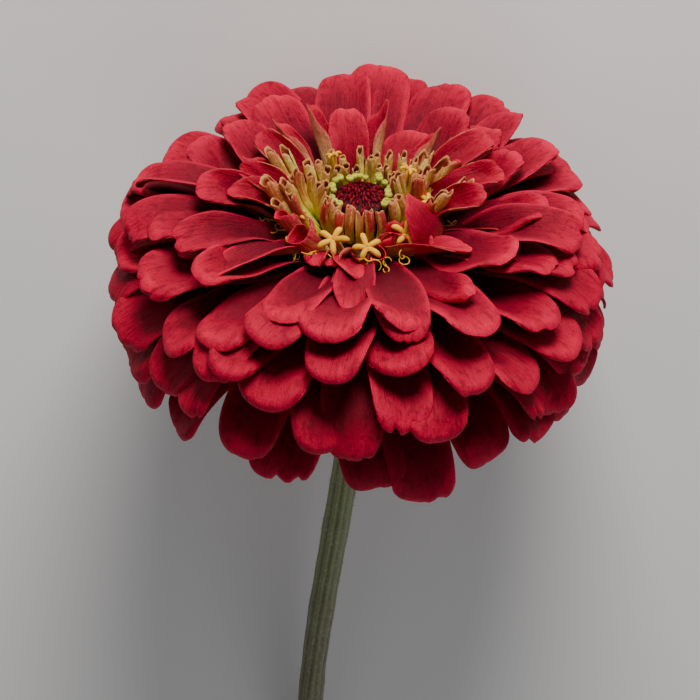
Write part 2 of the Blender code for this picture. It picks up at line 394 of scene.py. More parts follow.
@dataclass(frozen=True)
class Profile:
    """Whorl profiles by level: 0 for the young rays, then the CAD whorls 1 to 8."""

    base_radius: tuple = (10.6, 11.0, 11.5, 11.8, 11.9, 11.8, 11.5, 11.0, 10.3)
    base_height: tuple = (-7.6, -9.2, -10.8, -12.3, -13.8, -15.4, -17.2, -19.3, -21.7)
    tip_radius: tuple = (27.0, 39.0, 44.5, 47.5, 50.0, 51.0, 50.0, 48.0, 44.5)
    tip_height: tuple = (3.0, 0.5, -2.5, -6.5, -12.0, -19.5, -27.5, -35.5, -43.0)
    rise: tuple = (56.0, 42.0, 36.0, 30.0, 24.0, 18.0, 12.0, 6.0, 0.0)
    droop: tuple = (15.0, -5.0, -15.0, -26.0, -38.0, -52.0, -64.0, -74.0, -82.0)

    def at(self, values: tuple, level: float) -> float:
        """Interpolate one of the columns at a level."""
        return float(np.interp(level, np.arange(len(values)), values))

    def ends(self, claw: float, level: float) -> Array:
        """Return radius and height of a claw's seat, then of a tip, at their levels."""
        return np.array([[self.at(self.base_radius, claw), self.at(self.base_height, claw)],
                         [self.at(self.tip_radius, level), self.at(self.tip_height, level)]])

    def curve(self, claw: float, level: float, samples: int = 80) -> tuple[Array, float]:
        """Return slope and arc length along a blade.

        The mid-line is a cubic Bezier curve from the claw's seat to the tip, whose end
        slopes are the whorl's rise and droop.

        Args:
            claw: The level at which the claw is seated.
            level: The level that the tip reaches.
            samples: Points along the curve.

        Returns:
            Slopes in radians at even arc lengths, and the whole length in millimetres.
        """
        start, end = self.ends(claw, level)
        rise = math.radians(self.at(self.rise, 0.5 * (claw + level)))
        droop = math.radians(self.at(self.droop, level))
        reach = 0.38 * np.linalg.norm(end - start)
        leave = start + reach * np.array([math.cos(rise), math.sin(rise)])
        arrive = end - reach * np.array([math.cos(droop), math.sin(droop)])
        t = np.linspace(0, 1, samples)[:, None]
        points = ((1 - t) ** 3 * start + 3 * (1 - t) ** 2 * t * leave
                  + 3 * (1 - t) * t ** 2 * arrive + t ** 3 * end)
        steps = np.diff(points, axis=0)
        lengths = np.concatenate([[0.0], np.cumsum(np.linalg.norm(steps, axis=1))])
        slopes = np.unwrap(np.arctan2(np.gradient(points[:, 1]), np.gradient(points[:, 0])))
        even = np.linspace(0, lengths[-1], samples)
        return np.interp(even, lengths, slopes), float(lengths[-1])


@dataclass(frozen=True)
class Floret:
    """The shape of one ray floret.

    Attributes:
        azimuth: Degrees from the front.
        level: Where its tip lies among the whorls.
        claw: Where its claw is seated among the whorls.
        width: Flat width of the blade in millimetres.
        stretch: Length, as a share of the whorl's.
        lift: Millimetres that the tip is raised.
        curl: Degrees that the last third turns down.
        twist: Degrees that the tip turns about the mid-line.
        sweep: Degrees of azimuth that the tip swings sideways.
        cup: Half-angle in degrees of the blade's hollow at mid-length.
        lip: Half-angle in degrees at the tip, negative where the edges turn down.
        taper: Share of the width left at the corners of the tip.
        notch: Depth of the tip's notches, as a share of the length.
        ruffle: Height in millimetres of the waves along the margin.
        seed: Picks the floret's own small waves and tone.
        hollow: Degrees that the outer half turns up before the curl.
        roll: Millimetres that the rim rolls over towards the back.
        tone: Brightness from 0 to 1; below 0 the seed picks it.
    """

    azimuth: float
    level: float
    claw: float
    width: float = 14.0
    stretch: float = 1.0
    lift: float = 0.0
    curl: float = 28.0
    twist: float = 0.0
    sweep: float = 0.0
    cup: float = 24.0
    lip: float = -26.0
    taper: float = 0.80
    notch: float = 0.02
    ruffle: float = 0.35
    seed: int = 0
    hollow: float = 0.0
    roll: float = 0.7
    tone: float = -1.0


@dataclass(frozen=True)
class BladeGrid:
    """How finely a blade is divided, and its thickness in millimetres."""

    rows: int = 34
    columns: int = 23
    thickness: float = 0.42
    rim: float = 0.20


class BladeMaker:
    """Turns a `Floret` into a closed, gently waved blade.

    Places along a blade are shares of its length, and all widths and heights are millimetres.
    """

    CLAW_HALF_WIDTH = 2.7
    WIDEST = 0.70                       # where the blade is widest
    RIM_WIDTH = 1.9                     # what rolls over
    CURL_FROM = 0.72                    # where the tip starts to turn down
    TURN_POWER = 1.4                    # how late the curl, the lift and the twist set in
    KNOTS = (0.0, 0.22, 0.5, 0.78, 1.0)     # where the half-angles of the arcs are given
    CLAW_BENDS = (68.0, 50.0)           # the first two of them, in degrees
    FOLD, CREASE, DIMPLE = 0.20, 0.22, 0.15     # heights of the waves
    DIMPLES = 5

    def __init__(self, head: Head, profile: Profile, grid: BladeGrid = BladeGrid()) -> None:
        """Keep the frame, the whorl profiles and the fineness."""
        self.head = head
        self.profile = profile
        self.grid = grid

    def outline(self, floret: Floret, length: float) -> tuple[Array, Array, Array, Array]:
        """Return along, across, half-width and nearness to the rim over the blade's grid.

        Rows run from claw to tip and stop on a round arc with shallow notches; the
        half-width swells from the claw as the power of a sine and eases in at the tip.
        The last rows and columns lie closer together, where the rim rolls over.

        Args:
            floret: The floret's shape.
            length: Length of the mid-line in millimetres.

        Returns:
            (rows, columns) shares along and across, half-width in millimetres, and a
            value that rises to 1 over the last millimetre or so before the rim.
        """
        rng = np.random.default_rng(floret.seed)
        across = np.sin(math.pi / 2 * np.linspace(-1, 1, self.grid.columns))[None, :]
        row = 1 - (1 - np.linspace(0, 1, self.grid.rows)[:, None]) ** 1.6
        half = floret.width / 2
        round_off = min(0.46, 1.05 * floret.taper * half / length)
        arc = 1 - round_off * (1 - np.sqrt(1 - (0.97 * across) ** 2))
        for centre in rng.uniform(-0.55, 0.55, 2):
            arc = arc - floret.notch * np.exp(-((across - centre) / 0.12) ** 2)
        along = row * arc
        swell = np.sin(np.clip(row / self.WIDEST, 0, 1) * math.pi / 2) ** 1.1
        ease = 1 - (1 - floret.taper) * np.clip((row - self.WIDEST) / (1 - self.WIDEST), 0, 1) ** 2
        claw = min(self.CLAW_HALF_WIDTH, 0.6 * half)
        width = (claw + (half - claw) * swell) * ease + 0 * across
        from_tip = np.clip(1 - (1 - row) * length / self.RIM_WIDTH, 0, 1)
        from_side = np.clip(1 - (1 - np.abs(across)) * half / self.RIM_WIDTH, 0, 1)
        rim = np.clip(np.hypot(from_tip, from_side * smooth_step((row - 0.2) / 0.3)), 0, 1)
        return along, across + 0 * row, width, rim

    def surface(self, floret: Floret) -> tuple[Array, Array, Array, Array, float]:
        """Work out the mid-surface.

        The mid-line is integrated from the whorl's slopes, turned down by the curl over
        its last third, and then drawn out so that its tip reaches the whorl's place. Each
        cross-section is an arc whose half-angle runs from a deep claw through the cup to
        the lip, and small waves are added along the normal.

        Args:
            floret: The floret's shape.

        Returns:
            (rows, columns, 3) points, shares along and across, half-widths, and length.
        """
        slopes, whole = self.profile.curve(floret.claw, floret.level)
        samples = len(slopes)
        share = np.linspace(0, 1, samples)
        curled = np.clip((share - self.CURL_FROM) / (1 - self.CURL_FROM), 0, 1)
        angle = (slopes - math.radians(floret.curl) * curled ** self.TURN_POWER
                 + math.radians(floret.hollow) * (smooth_step((share - 0.42) / 0.46) - 0.4))
        step = whole * floret.stretch / (samples - 1)
        start, place = self.profile.ends(floret.claw, floret.level)
        reach = (place - start) * floret.stretch + np.array([0.0, floret.lift])
        radius = np.concatenate([[0], np.cumsum(np.cos(angle[:-1]) * step)])
        height = np.concatenate([[0], np.cumsum(np.sin(angle[:-1]) * step)])
        radius = start[0] + radius * reach[0] / radius[-1]
        height = start[1] + height + share ** self.TURN_POWER * (reach[1] - height[-1])
        length = float(np.sum(np.hypot(np.diff(radius), np.diff(height))))
        azimuth = math.radians(floret.azimuth) + math.radians(floret.sweep) * share ** 2
        turn = math.radians(floret.twist) * share ** self.TURN_POWER
        frames = leaf_frames(azimuth, radius, height, turn)
        along, across, half, rim = self.outline(floret, length)
        bends = np.radians([*self.CLAW_BENDS, floret.cup, 0.5 * (floret.cup + floret.lip),
                            floret.lip])
        bend = np.interp(along.ravel(), self.KNOTS, bends).reshape(along.shape)
        points = sweep_leaf(frames, along, across, half, bend,
                            self.waves(floret, along, across, length) - floret.roll * rim ** 2)
        return points, along, across, half, length

    def waves(self, floret: Floret, along: Array, across: Array, length: float) -> Array:
        """Return small waves along the normal: long folds, a ruffled margin and dimples.

        Args:
            floret: Gives the ruffle's height and the seed.
            along: Share along the blade.
            across: Share across, from -1 to 1.
            length: Length in millimetres.

        Returns:
            Offsets in millimetres.
        """
        rng = np.random.default_rng(floret.seed + 7919)
        phase = rng.uniform(0, 2 * math.pi, 8)
        folds = self.FOLD * np.cos(across * 5.2 + phase[0]) * np.sin(math.pi * along) ** 0.7
        crease = -self.CREASE * np.exp(-(across / 0.10) ** 2) * smooth_step((along - 0.1) / 0.3)
        ruffle = floret.ruffle * np.abs(across) ** 3 * np.sin(
            along * length / 3.4 + phase[1] + 1.7 * np.sign(across))
        dimples = 0.0
        for number in range(self.DIMPLES):
            slope = rng.uniform(1.5, 5.5) * across + rng.uniform(4.0, 15.0) * along
            dimples = dimples + self.DIMPLE * np.sin(slope + phase[2 + number])
        return folds + crease + (ruffle + dimples) * smooth_step(along / 0.35)

    def add(self, skin: Skin, floret: Floret) -> None:
        """Work out one floret, press it on the table and add it to a skin."""
        points, along, across, half, length = self.surface(floret)
        outward = np.hypot(points[..., 0], points[..., 1])
        depth = float(np.max(outward * math.cos(self.head.tilt)
                             - points[..., 2] * math.sin(self.head.tilt)))
        edge = np.maximum(np.abs(across), np.clip((along - 0.9) / 0.1, 0, 1))
        thin = self.grid.rim
        thickness = thin + (self.grid.thickness - thin) * (1 - np.clip(edge, 0, 1) ** 6)
        tone = floret.tone
        if tone < 0:
            tone = float(np.random.default_rng(floret.seed + 31).uniform(0, 1))
        add_leaf(skin, self.head.press(points, depth), thickness,
                 (across * half, along * length), (along, np.abs(across), tone))


# --------------------------------------------------------------------------- finishes

class Nodes:
    """Short ways to wire a material's nodes."""

    def __init__(self, name: str) -> None:
        """Start a material with a Principled shader and nothing else."""
        self.material = bpy.data.materials.new(name)
        self.material.use_nodes = True
        self.tree = self.material.node_tree
        self.shader = self.tree.nodes["Principled BSDF"]

    def feed(self, node: bpy.types.Node, inputs: dict) -> None:
        """Set a node's inputs, by name or number, or link outputs to them."""
        for key, value in inputs.items():
            socket = node.inputs[key]
            if isinstance(value, bpy.types.NodeSocket):
                self.tree.links.new(value, socket)
            else:
                socket.default_value = (*value, 1.0) if socket.type == "RGBA" else value

    def node(self, kind: str, inputs: dict | None = None, **settings: object) -> bpy.types.Node:
        """Add a node, set its properties and feed its inputs."""
        made = self.tree.nodes.new(kind)
        for key, value in settings.items():
            setattr(made, key, value)
        self.feed(made, inputs or {})
        return made

    def attribute(self, name: str) -> tuple[Socket, Socket, Socket]:
        """Return the three parts of a vector attribute."""
        reader = self.node("ShaderNodeAttribute", attribute_name=name)
        parts = self.node("ShaderNodeSeparateXYZ", {0: reader.outputs["Vector"]})
        return parts.outputs[0], parts.outputs[1], parts.outputs[2]

    def place(self) -> Socket:
        """Return the object's own coordinates in metres."""
        return self.node("ShaderNodeTexCoord").outputs["Object"]

    def math(self, operation: str, *terms: Socket | float) -> Socket:
        """Return the result of a math node."""
        return self.node("ShaderNodeMath", dict(enumerate(terms)), operation=operation).outputs[0]

    def blend(self, share: Socket | float, first: Socket | Colour, second: Socket | Colour,
              kind: str = "MIX") -> Socket:
        """Return a mix of two colours."""
        return self.node("ShaderNodeMix", {0: share, 6: first, 7: second}, data_type="RGBA",
                         blend_type=kind, clamp_factor=True).outputs[2]

    def tint(self, colour: Socket, mask: Socket, strength: Socket | float,
             other: Socket | Colour) -> Socket:
        """Return a colour that turns into another where a mask is high."""
        return self.blend(self.math("MULTIPLY", mask, strength), colour, other)

    def dim(self, colour: Socket, value: Socket) -> Socket:
        """Return a colour multiplied by a value."""
        return self.blend(1.0, colour, self.vector(value, value, value), "MULTIPLY")

    def ramp(self, share: Socket, stops: tuple) -> Socket:
        """Return a colour ramp; stops are (place, colour) pairs."""
        made = self.node("ShaderNodeValToRGB", {0: share})
        elements = made.color_ramp.elements
        while len(elements) < len(stops):
            elements.new(0.5)
        for element, (place, colour) in zip(elements, stops):
            element.position = place
            element.color = (*colour, 1.0)
        return made.outputs[0]

    def noise(self, vector: Socket, scale: float, detail: float = 3.0,
              roughness: float = 0.55) -> Socket:
        """Return a noise value, from 0 to 1 around 0.5."""
        return self.node("ShaderNodeTexNoise", {"Vector": vector, "Scale": scale,
                                                "Detail": detail, "Roughness": roughness}
                         ).outputs["Fac"]

    def vector(self, *parts: Socket | float) -> Socket:
        """Return a vector from its parts."""
        return self.node("ShaderNodeCombineXYZ", dict(enumerate(parts))).outputs[0]

    def streaks(self, across: Socket, along: Socket, scales: tuple[float, float],
                drift: Socket) -> Socket:
        """Return a place for noise that is drawn out along a leaf, by patches a millimetre."""
        return self.vector(self.math("MULTIPLY", across, scales[0]),
                           self.math("MULTIPLY", along, scales[1]), drift)

    def band(self, value: Socket, low: float, high: float) -> Socket:
        """Return 0 below low, 1 above high and a smooth rise between."""
        return self.node("ShaderNodeMapRange", {"Value": value, "From Min": low,
                                                "From Max": high},
                         interpolation_type="SMOOTHSTEP").outputs[0]

    def bump(self, height: Socket, distance: float, strength: float) -> None:
        """Give the shader a bump from a height between 0 and 1, over a distance in metres."""
        made = self.node("ShaderNodeBump", {"Strength": strength, "Distance": distance,
                                            "Height": height})
        self.feed(self.shader, {"Normal": made.outputs[0]})


@dataclass(frozen=True)
class PetalFinish:
    """Velvety petal: one colour run on its face, another on its back, veins and mottling,
    with painted shade in the face's hollow and a painted highlight on its rim and tip.

    Attributes:
        name: The material's name.
        face: (place, colour) stops from claw to tip on the face side.
        back: (place, colour) stops from claw to tip on the back.
        margin: Colour of the painted highlight on the rim and tip of the face side.
        shade: Colour of the veins and mottling, and of the painted shade in the face's hollow.
        mottle: How strongly the mottling shows.
        sheen: Weight of the velvet sheen.
        sheen_tint: Its colour.
        roughness: Surface roughness.
        blush: Colour that spreads in streaks over the back of high-toned pieces.
    """

    name: str
    face: tuple
    back: tuple
    margin: Colour
    shade: Colour
    mottle: float = 0.42
    sheen: float = 0.05
    sheen_tint: Colour = (1.0, 0.12, 0.16)
    roughness: float = 0.62
    blush: Colour | None = None

    def make(self) -> bpy.types.Material:
        """Build the material."""
        nodes = Nodes(self.name)
        across, along, side = nodes.attribute("plan")
        share, edge, tone = nodes.attribute("rank")
        drift = nodes.math("MULTIPLY", tone, 37.0)
        veins = nodes.noise(nodes.streaks(across, along, (1.9, 0.10), drift), 1.0, 4.0, 0.6)
        fine = nodes.noise(nodes.streaks(across, along, (5.0, 0.35), drift), 1.0, 2.0)
        spots = nodes.noise(nodes.streaks(across, along, (1.0, 0.6), drift), 0.75, 4.0, 0.65)
        # Painted shade: hollow darkens the face's middle, where the cupped blade lies in shade.
        hollow = nodes.math("MULTIPLY", nodes.band(edge, 0.84, 0.34), nodes.band(share, 0.96, 0.72))
        # Painted highlight: rim lightens the face's rim and tip towards the margin colour.
        rim = nodes.math("MAXIMUM", nodes.band(edge, 0.74, 1.0), nodes.band(share, 0.90, 1.0))
        face = nodes.ramp(share, self.face)
        for mask, strength, colour in (
                (nodes.band(spots, 0.49, 0.63), self.mottle, self.shade),
                (nodes.band(veins, 0.53, 0.70), 0.38, self.shade),
                (hollow, 0.42, self.shade), (rim, 0.55, self.margin)):
            face = nodes.tint(face, mask, strength, colour)
        back = nodes.ramp(share, self.back)
        if self.blush:
            streaks = nodes.math("MULTIPLY_ADD", nodes.band(veins, 0.36, 0.54), 0.52, 0.48)
            high = nodes.math("MULTIPLY", nodes.band(share, 0.15, 0.6), tone)
            back = nodes.tint(back, streaks, high, self.blush)
        back = nodes.tint(back, nodes.band(veins, 0.50, 0.62), 0.5,
                          nodes.blend(0.55, back, self.shade))
        back = nodes.tint(back, nodes.band(spots, 0.48, 0.66), self.mottle * 0.6, self.shade)
        grain = nodes.noise(nodes.place(), 2.6 / MM, 2.0)
        value = nodes.math("MULTIPLY_ADD", tone, 0.25, 0.44)
        for patches in (grain, nodes.noise(nodes.place(), 0.22 / MM, 3.0, 0.6)):
            value = nodes.math("MULTIPLY_ADD", patches, 0.50, value)
        nodes.feed(nodes.shader, {
            "Base Color": nodes.dim(nodes.blend(nodes.band(side, 0.35, 0.65), back, face), value),
            "Roughness": nodes.math("MULTIPLY_ADD", fine, 0.25, self.roughness - 0.12),
            "Sheen Weight": self.sheen, "Sheen Roughness": 0.4, "Sheen Tint": self.sheen_tint,
            "Specular IOR Level": 0.14})
        relief = nodes.math("MULTIPLY", veins, 0.65)
        for layer, height in ((fine, 0.35), (spots, 0.9), (grain, 0.25)):
            relief = nodes.math("MULTIPLY_ADD", layer, height, relief)
        nodes.bump(relief, 0.5 * MM, 0.8)
        return nodes.material


@dataclass(frozen=True)
class SoftFinish:
    """Small fleshy piece: a colour run along it, a second colour in patches, fine bump.

    Attributes:
        name: The material's name.
        run: (place, colour) stops along the piece.
        patch: Colour of the patches.
        patchiness: How strongly they show.
        grain: Patches to a millimetre.
        roughness: Surface roughness.
        sheen: Weight of the down's sheen.
    """

    name: str
    run: tuple
    patch: Colour
    patchiness: float = 0.4
    grain: float = 1.2
    roughness: float = 0.5
    sheen: float = 0.2

    def make(self) -> bpy.types.Material:
        """Build the material."""
        nodes = Nodes(self.name)
        share, _, tone = nodes.attribute("rank")
        patches = nodes.noise(nodes.place(), self.grain / MM)
        fuzz = nodes.noise(nodes.place(), 6.0 / MM, 2.0)
        colour = nodes.tint(nodes.ramp(share, self.run), nodes.band(patches, 0.42, 0.66),
                            self.patchiness, self.patch)
        nodes.feed(nodes.shader, {
            "Base Color": nodes.dim(colour, nodes.math("MULTIPLY_ADD", tone, 0.3, 0.85)),
            "Roughness": nodes.math("MULTIPLY_ADD", fuzz, 0.2, self.roughness - 0.1),
            "Sheen Weight": self.sheen, "Specular IOR Level": 0.15})
        nodes.bump(nodes.math("MULTIPLY_ADD", fuzz, 0.5, patches), 0.12 * MM, 0.6)
        return nodes.material


# In every petal finish the margin colour is a painted highlight on the rim and tip.
# Painted shade: the ray face darkens from tip to claw, where the petals above shadow it.
RAY = PetalFinish(
    "velvet_crimson",
    face=((0.0, (0.10, 0.003, 0.008)), (0.30, (0.10, 0.0004, 0.009)),
          (0.60, (0.21, 0.0006, 0.015)), (0.85, (0.41, 0.001, 0.026)),
          (1.0, (0.54, 0.0015, 0.035))),
    back=((0.0, (0.40, 0.38, 0.10)), (0.35, (0.42, 0.12, 0.06)), (1.0, (0.40, 0.035, 0.035))),
    margin=(0.70, 0.006, 0.050), shade=(0.075, 0.0002, 0.006))
YOUNG = PetalFinish(
    "velvet_young_red",
    face=((0.0, (0.22, 0.02, 0.015)), (0.30, (0.18, 0.001, 0.014)),
          (1.0, (0.54, 0.0015, 0.035))),
    back=((0.0, (0.52, 0.48, 0.12)), (0.45, (0.60, 0.36, 0.13)), (0.85, (0.60, 0.18, 0.10)),
          (1.0, (0.56, 0.06, 0.05))),
    margin=(0.62, 0.02, 0.04), shade=(0.15, 0.0005, 0.006), blush=(0.42, 0.004, 0.028))
ROLLED = PetalFinish(
    "rolled_tan_and_pink",
    face=((0.0, (0.38, 0.28, 0.03)), (0.6, (0.30, 0.09, 0.02)), (0.93, (0.28, 0.03, 0.02)),
          (1.0, (0.50, 0.17, 0.06))),
    back=((0.0, (0.50, 0.56, 0.02)), (0.40, (0.84, 0.78, 0.08)), (0.85, (0.88, 0.68, 0.15)),
          (1.0, (0.80, 0.42, 0.15))),
    margin=(0.76, 0.40, 0.13), shade=(0.34, 0.06, 0.015), mottle=0.5, sheen=0.03,
    sheen_tint=(1.0, 0.8, 0.7), roughness=0.5, blush=(0.44, 0.022, 0.034))
STAR = SoftFinish(
    "star_gold",
    run=((0.0, (0.50, 0.36, 0.04)), (0.4, (0.82, 0.42, 0.015)), (1.0, (0.88, 0.48, 0.02))),
    patch=(0.74, 0.28, 0.01), sheen=0.1)
BUD = SoftFinish(
    "bud_lime",
    run=((0.0, (0.30, 0.36, 0.03)), (0.6, (0.58, 0.58, 0.03)), (1.0, (0.34, 0.28, 0.01))),
    patch=(0.70, 0.62, 0.08), grain=0.9, roughness=0.38)
CHAFF = SoftFinish(
    "chaff_maroon",
    run=((0.0, (0.035, 0.001, 0.004)), (0.5, (0.10, 0.001, 0.007)), (1.0, (0.36, 0.002, 0.020))),
    patch=(0.04, 0.001, 0.004), patchiness=0.5, sheen=0.0)
GREEN = SoftFinish(
    "bract_green",
    run=((0.0, (0.10, 0.16, 0.035)), (0.72, (0.20, 0.27, 0.07)), (0.93, (0.13, 0.12, 0.035)),
         (1.0, (0.045, 0.025, 0.015))),
    patch=(0.07, 0.11, 0.025), patchiness=0.5, grain=0.7, roughness=0.55)
# Painted shade: from four tenths up the receptacle turns near-black red, seen between florets.
HEART = SoftFinish(
    "receptacle_green",
    run=((0.0, (0.22, 0.28, 0.08)), (0.30, (0.24, 0.26, 0.07)), (0.42, (0.10, 0.02, 0.01)),
         (1.0, (0.06, 0.004, 0.006))),
    patch=(0.10, 0.06, 0.02), grain=0.8, roughness=0.6, sheen=0.0)


@dataclass(frozen=True)
class StemFinish:
    """Downy ribbed stem: olive, purple-brown towards the cut, pale on the cut face."""

    name: str = "stem_olive"
    top: Colour = (0.20, 0.25, 0.075)
    bottom: Colour = (0.14, 0.105, 0.05)
    groove: Colour = (0.075, 0.085, 0.03)
    pith: Colour = (0.52, 0.56, 0.30)

    def make(self) -> bpy.types.Material:
        """Build the material."""
        nodes = Nodes(self.name)
        share, edge, rib = nodes.attribute("rank")
        patches = nodes.noise(nodes.place(), 0.25 / MM, 4.0)
        streaks = nodes.noise(nodes.place(), 1.6 / MM)
        shift = nodes.math("MULTIPLY_ADD", patches, 0.5, nodes.math("SUBTRACT", share, 0.25))
        colour = nodes.blend(nodes.band(shift, 0.2, 0.85), self.top, self.bottom)
        for mask, strength, other in ((nodes.band(rib, 0.6, 0.1), 0.6, self.groove),
                                      (nodes.band(streaks, 0.5, 0.7), 0.3, self.pith),
                                      (nodes.band(edge, 0.97, 0.80), 1.0, self.pith)):
            colour = nodes.tint(colour, mask, strength, other)
        nodes.feed(nodes.shader, {
            "Base Color": colour, "Sheen Weight": 0.35,
            "Roughness": nodes.math("MULTIPLY_ADD", streaks, 0.25, 0.45)})
        nodes.bump(streaks, 0.15 * MM, 0.6)
        return nodes.material


# --------------------------------------------------------------------------- sub-assemblies

@dataclass
class RayWhorls:
    """The eight whorls of open rays, a pair of neighbours to a piece."""

    maker: BladeMaker
    widths: tuple = (12.5, 13.6, 14.4, 15.0, 15.6, 16.0, 15.6, 15.4)
    azimuths: tuple = (
        (-170, -145, -122, -97, -57, -2, 34, 56, 83, 104, 123, 144),
        (-140, -113, -85, -46, -21, 11, 62, 86, 110, 132, 153, 176),
        (-172, -150, -126, -100, -75, -6, 33, 62, 89, 112, 138, 163),
        (-150, -117, -84, -61, -39, -20, 14, 55, 103, 125, 148, 171),
        (-174, -140, -100, -52, -33, -5, 26, 54, 80, 107, 134, 160),
        (-152, -110, -67, -44, -22, 9, 36, 66, 95, 122, 148, 176),
        (-166, -123, -80, -55, -30, -11, 22, 44, 74, 104, 134, 164),
        (-172, -130, -90, -52, -21, 0, 20, 40, 68, 98, 128, 158))
    # Florets that differ from their whorl: by whorl, then by azimuth.
    special: dict = field(default_factory=lambda: {
        1: {-170: dict(level=1.6, azimuth=-171, width=13.0, lift=2.6, cup=56, lip=30),
            -145: dict(level=0.8, azimuth=-148, lift=2.4, cup=46),
            -122: dict(level=0.6, azimuth=-124, width=11, lift=2.0, cup=60, lip=40),
            -97: dict(level=0.5, azimuth=-90, width=11.5, lift=2.4, cup=84, lip=60, hollow=10),
            -57: dict(level=1.1, azimuth=-65, width=9.5, lift=-1.2, twist=-14, cup=74, lip=58),
            -2: dict(level=1.2, azimuth=-4, width=9.0, stretch=0.95, lift=-2.6, curl=44, cup=12,
                     lip=-54),
            34: dict(level=0.9, azimuth=36, width=8.0, twist=30, cup=30, taper=0.45),
            56: dict(level=0.8, azimuth=56, width=14.0, lift=0.8, twist=6, cup=22, lip=18),
            83: dict(level=0.9, width=11.5, lift=1.6, twist=14, cup=62, lip=44),
            104: dict(level=0.6, width=11.0, lift=2.0, cup=72, lip=50),
            123: dict(level=0.6, lift=1.5, cup=46), 144: dict(level=0.5, lift=2, cup=46)},
        2: {-140: dict(level=2.0, azimuth=-145), -113: dict(level=1.0, cup=34),
            -85: dict(level=1.9, azimuth=-78, width=12.0, lift=1.2, twist=12, cup=62, lip=40),
            -46: dict(level=1.6, azimuth=-54, width=11.0, twist=-18, cup=58, lip=36),
            -21: dict(level=1.4, azimuth=-23, width=12.2, lift=-1.2),
            11: dict(level=1.4, azimuth=12, width=12.2, lift=-0.7),
            62: dict(level=1.7, width=13.5), 86: dict(level=2.0, azimuth=88),
            110: dict(level=1.6, width=12.5, lift=2.4, cup=56),
            132: dict(level=1.9, width=9.5, lift=3, cup=50, lip=20),
            153: dict(level=1.9, width=15, lift=3.6, cup=30),
            176: dict(level=1.9, width=14, lift=4.4)},
        3: {-172: dict(level=3.0, azimuth=-168),
            -150: dict(level=2.6, azimuth=-155, width=13, lift=2.0, cup=54),
            -100: dict(level=2.9, azimuth=-102, width=12.0, twist=-12, cup=56, lip=30),
            -75: dict(level=2.8, azimuth=-69, width=12.5, cup=50, lip=20),
            -6: dict(level=2.1, width=13.5), 33: dict(level=2.4, width=13.5),
            62: dict(level=2.7, azimuth=68), 89: dict(level=2.8),
            138: dict(level=2.2, azimuth=142, width=11, lift=2.6),
            163: dict(level=2.6, azimuth=165, width=13, lift=4.2, cup=50)},
        4: {-150: dict(level=3.5, lift=1.0),
            -84: dict(level=3.7, azimuth=-82, width=13.0, cup=44, lip=20),
            -61: dict(level=3.4, width=14), -39: dict(level=3.2, width=13.5, cup=16),
            -20: dict(level=2.7, width=13.5), 14: dict(level=3.1, width=13.8, cup=14),
            55: dict(level=3.8, width=14), 103: dict(level=3.2), 148: dict(level=3.4, lift=3),
            171: dict(level=3.8, lift=2)},
        5: {-174: dict(lift=2.5), -100: dict(level=4.0, azimuth=-103),
            -52: dict(level=4.4, azimuth=-50), -33: dict(level=3.9, width=11.5),
            -5: dict(level=3.5, width=13.5), 26: dict(level=4.3, width=13.5),
            54: dict(level=4.7, cup=30, lip=20), 80: dict(level=4.2, azimuth=78),
            160: dict(lift=2.5)},
        6: {-67: dict(level=5.3, azimuth=-69), -44: dict(level=5.9, width=12, twist=24),
            -22: dict(level=4.5, width=15.5), 9: dict(level=5.2, width=13.5, notch=0.05),
            36: dict(level=4.9, width=14), 66: dict(level=6.0, azimuth=59, width=11.5)},
        7: {-55: dict(level=5.9, azimuth=-54), -30: dict(level=6.4),
            -11: dict(level=5.7, width=13.5), 22: dict(level=5.4, width=13),
            44: dict(level=6.3, notch=0.06)},
        8: {-52: dict(level=7.9), -21: dict(level=7.7, width=16.0, notch=0.05),
            0: dict(level=7.9, width=14), 20: dict(level=7.7, azimuth=15, width=13.5),
            40: dict(level=7.6, azimuth=33, width=15.0), 68: dict(level=6.9, azimuth=52)}})
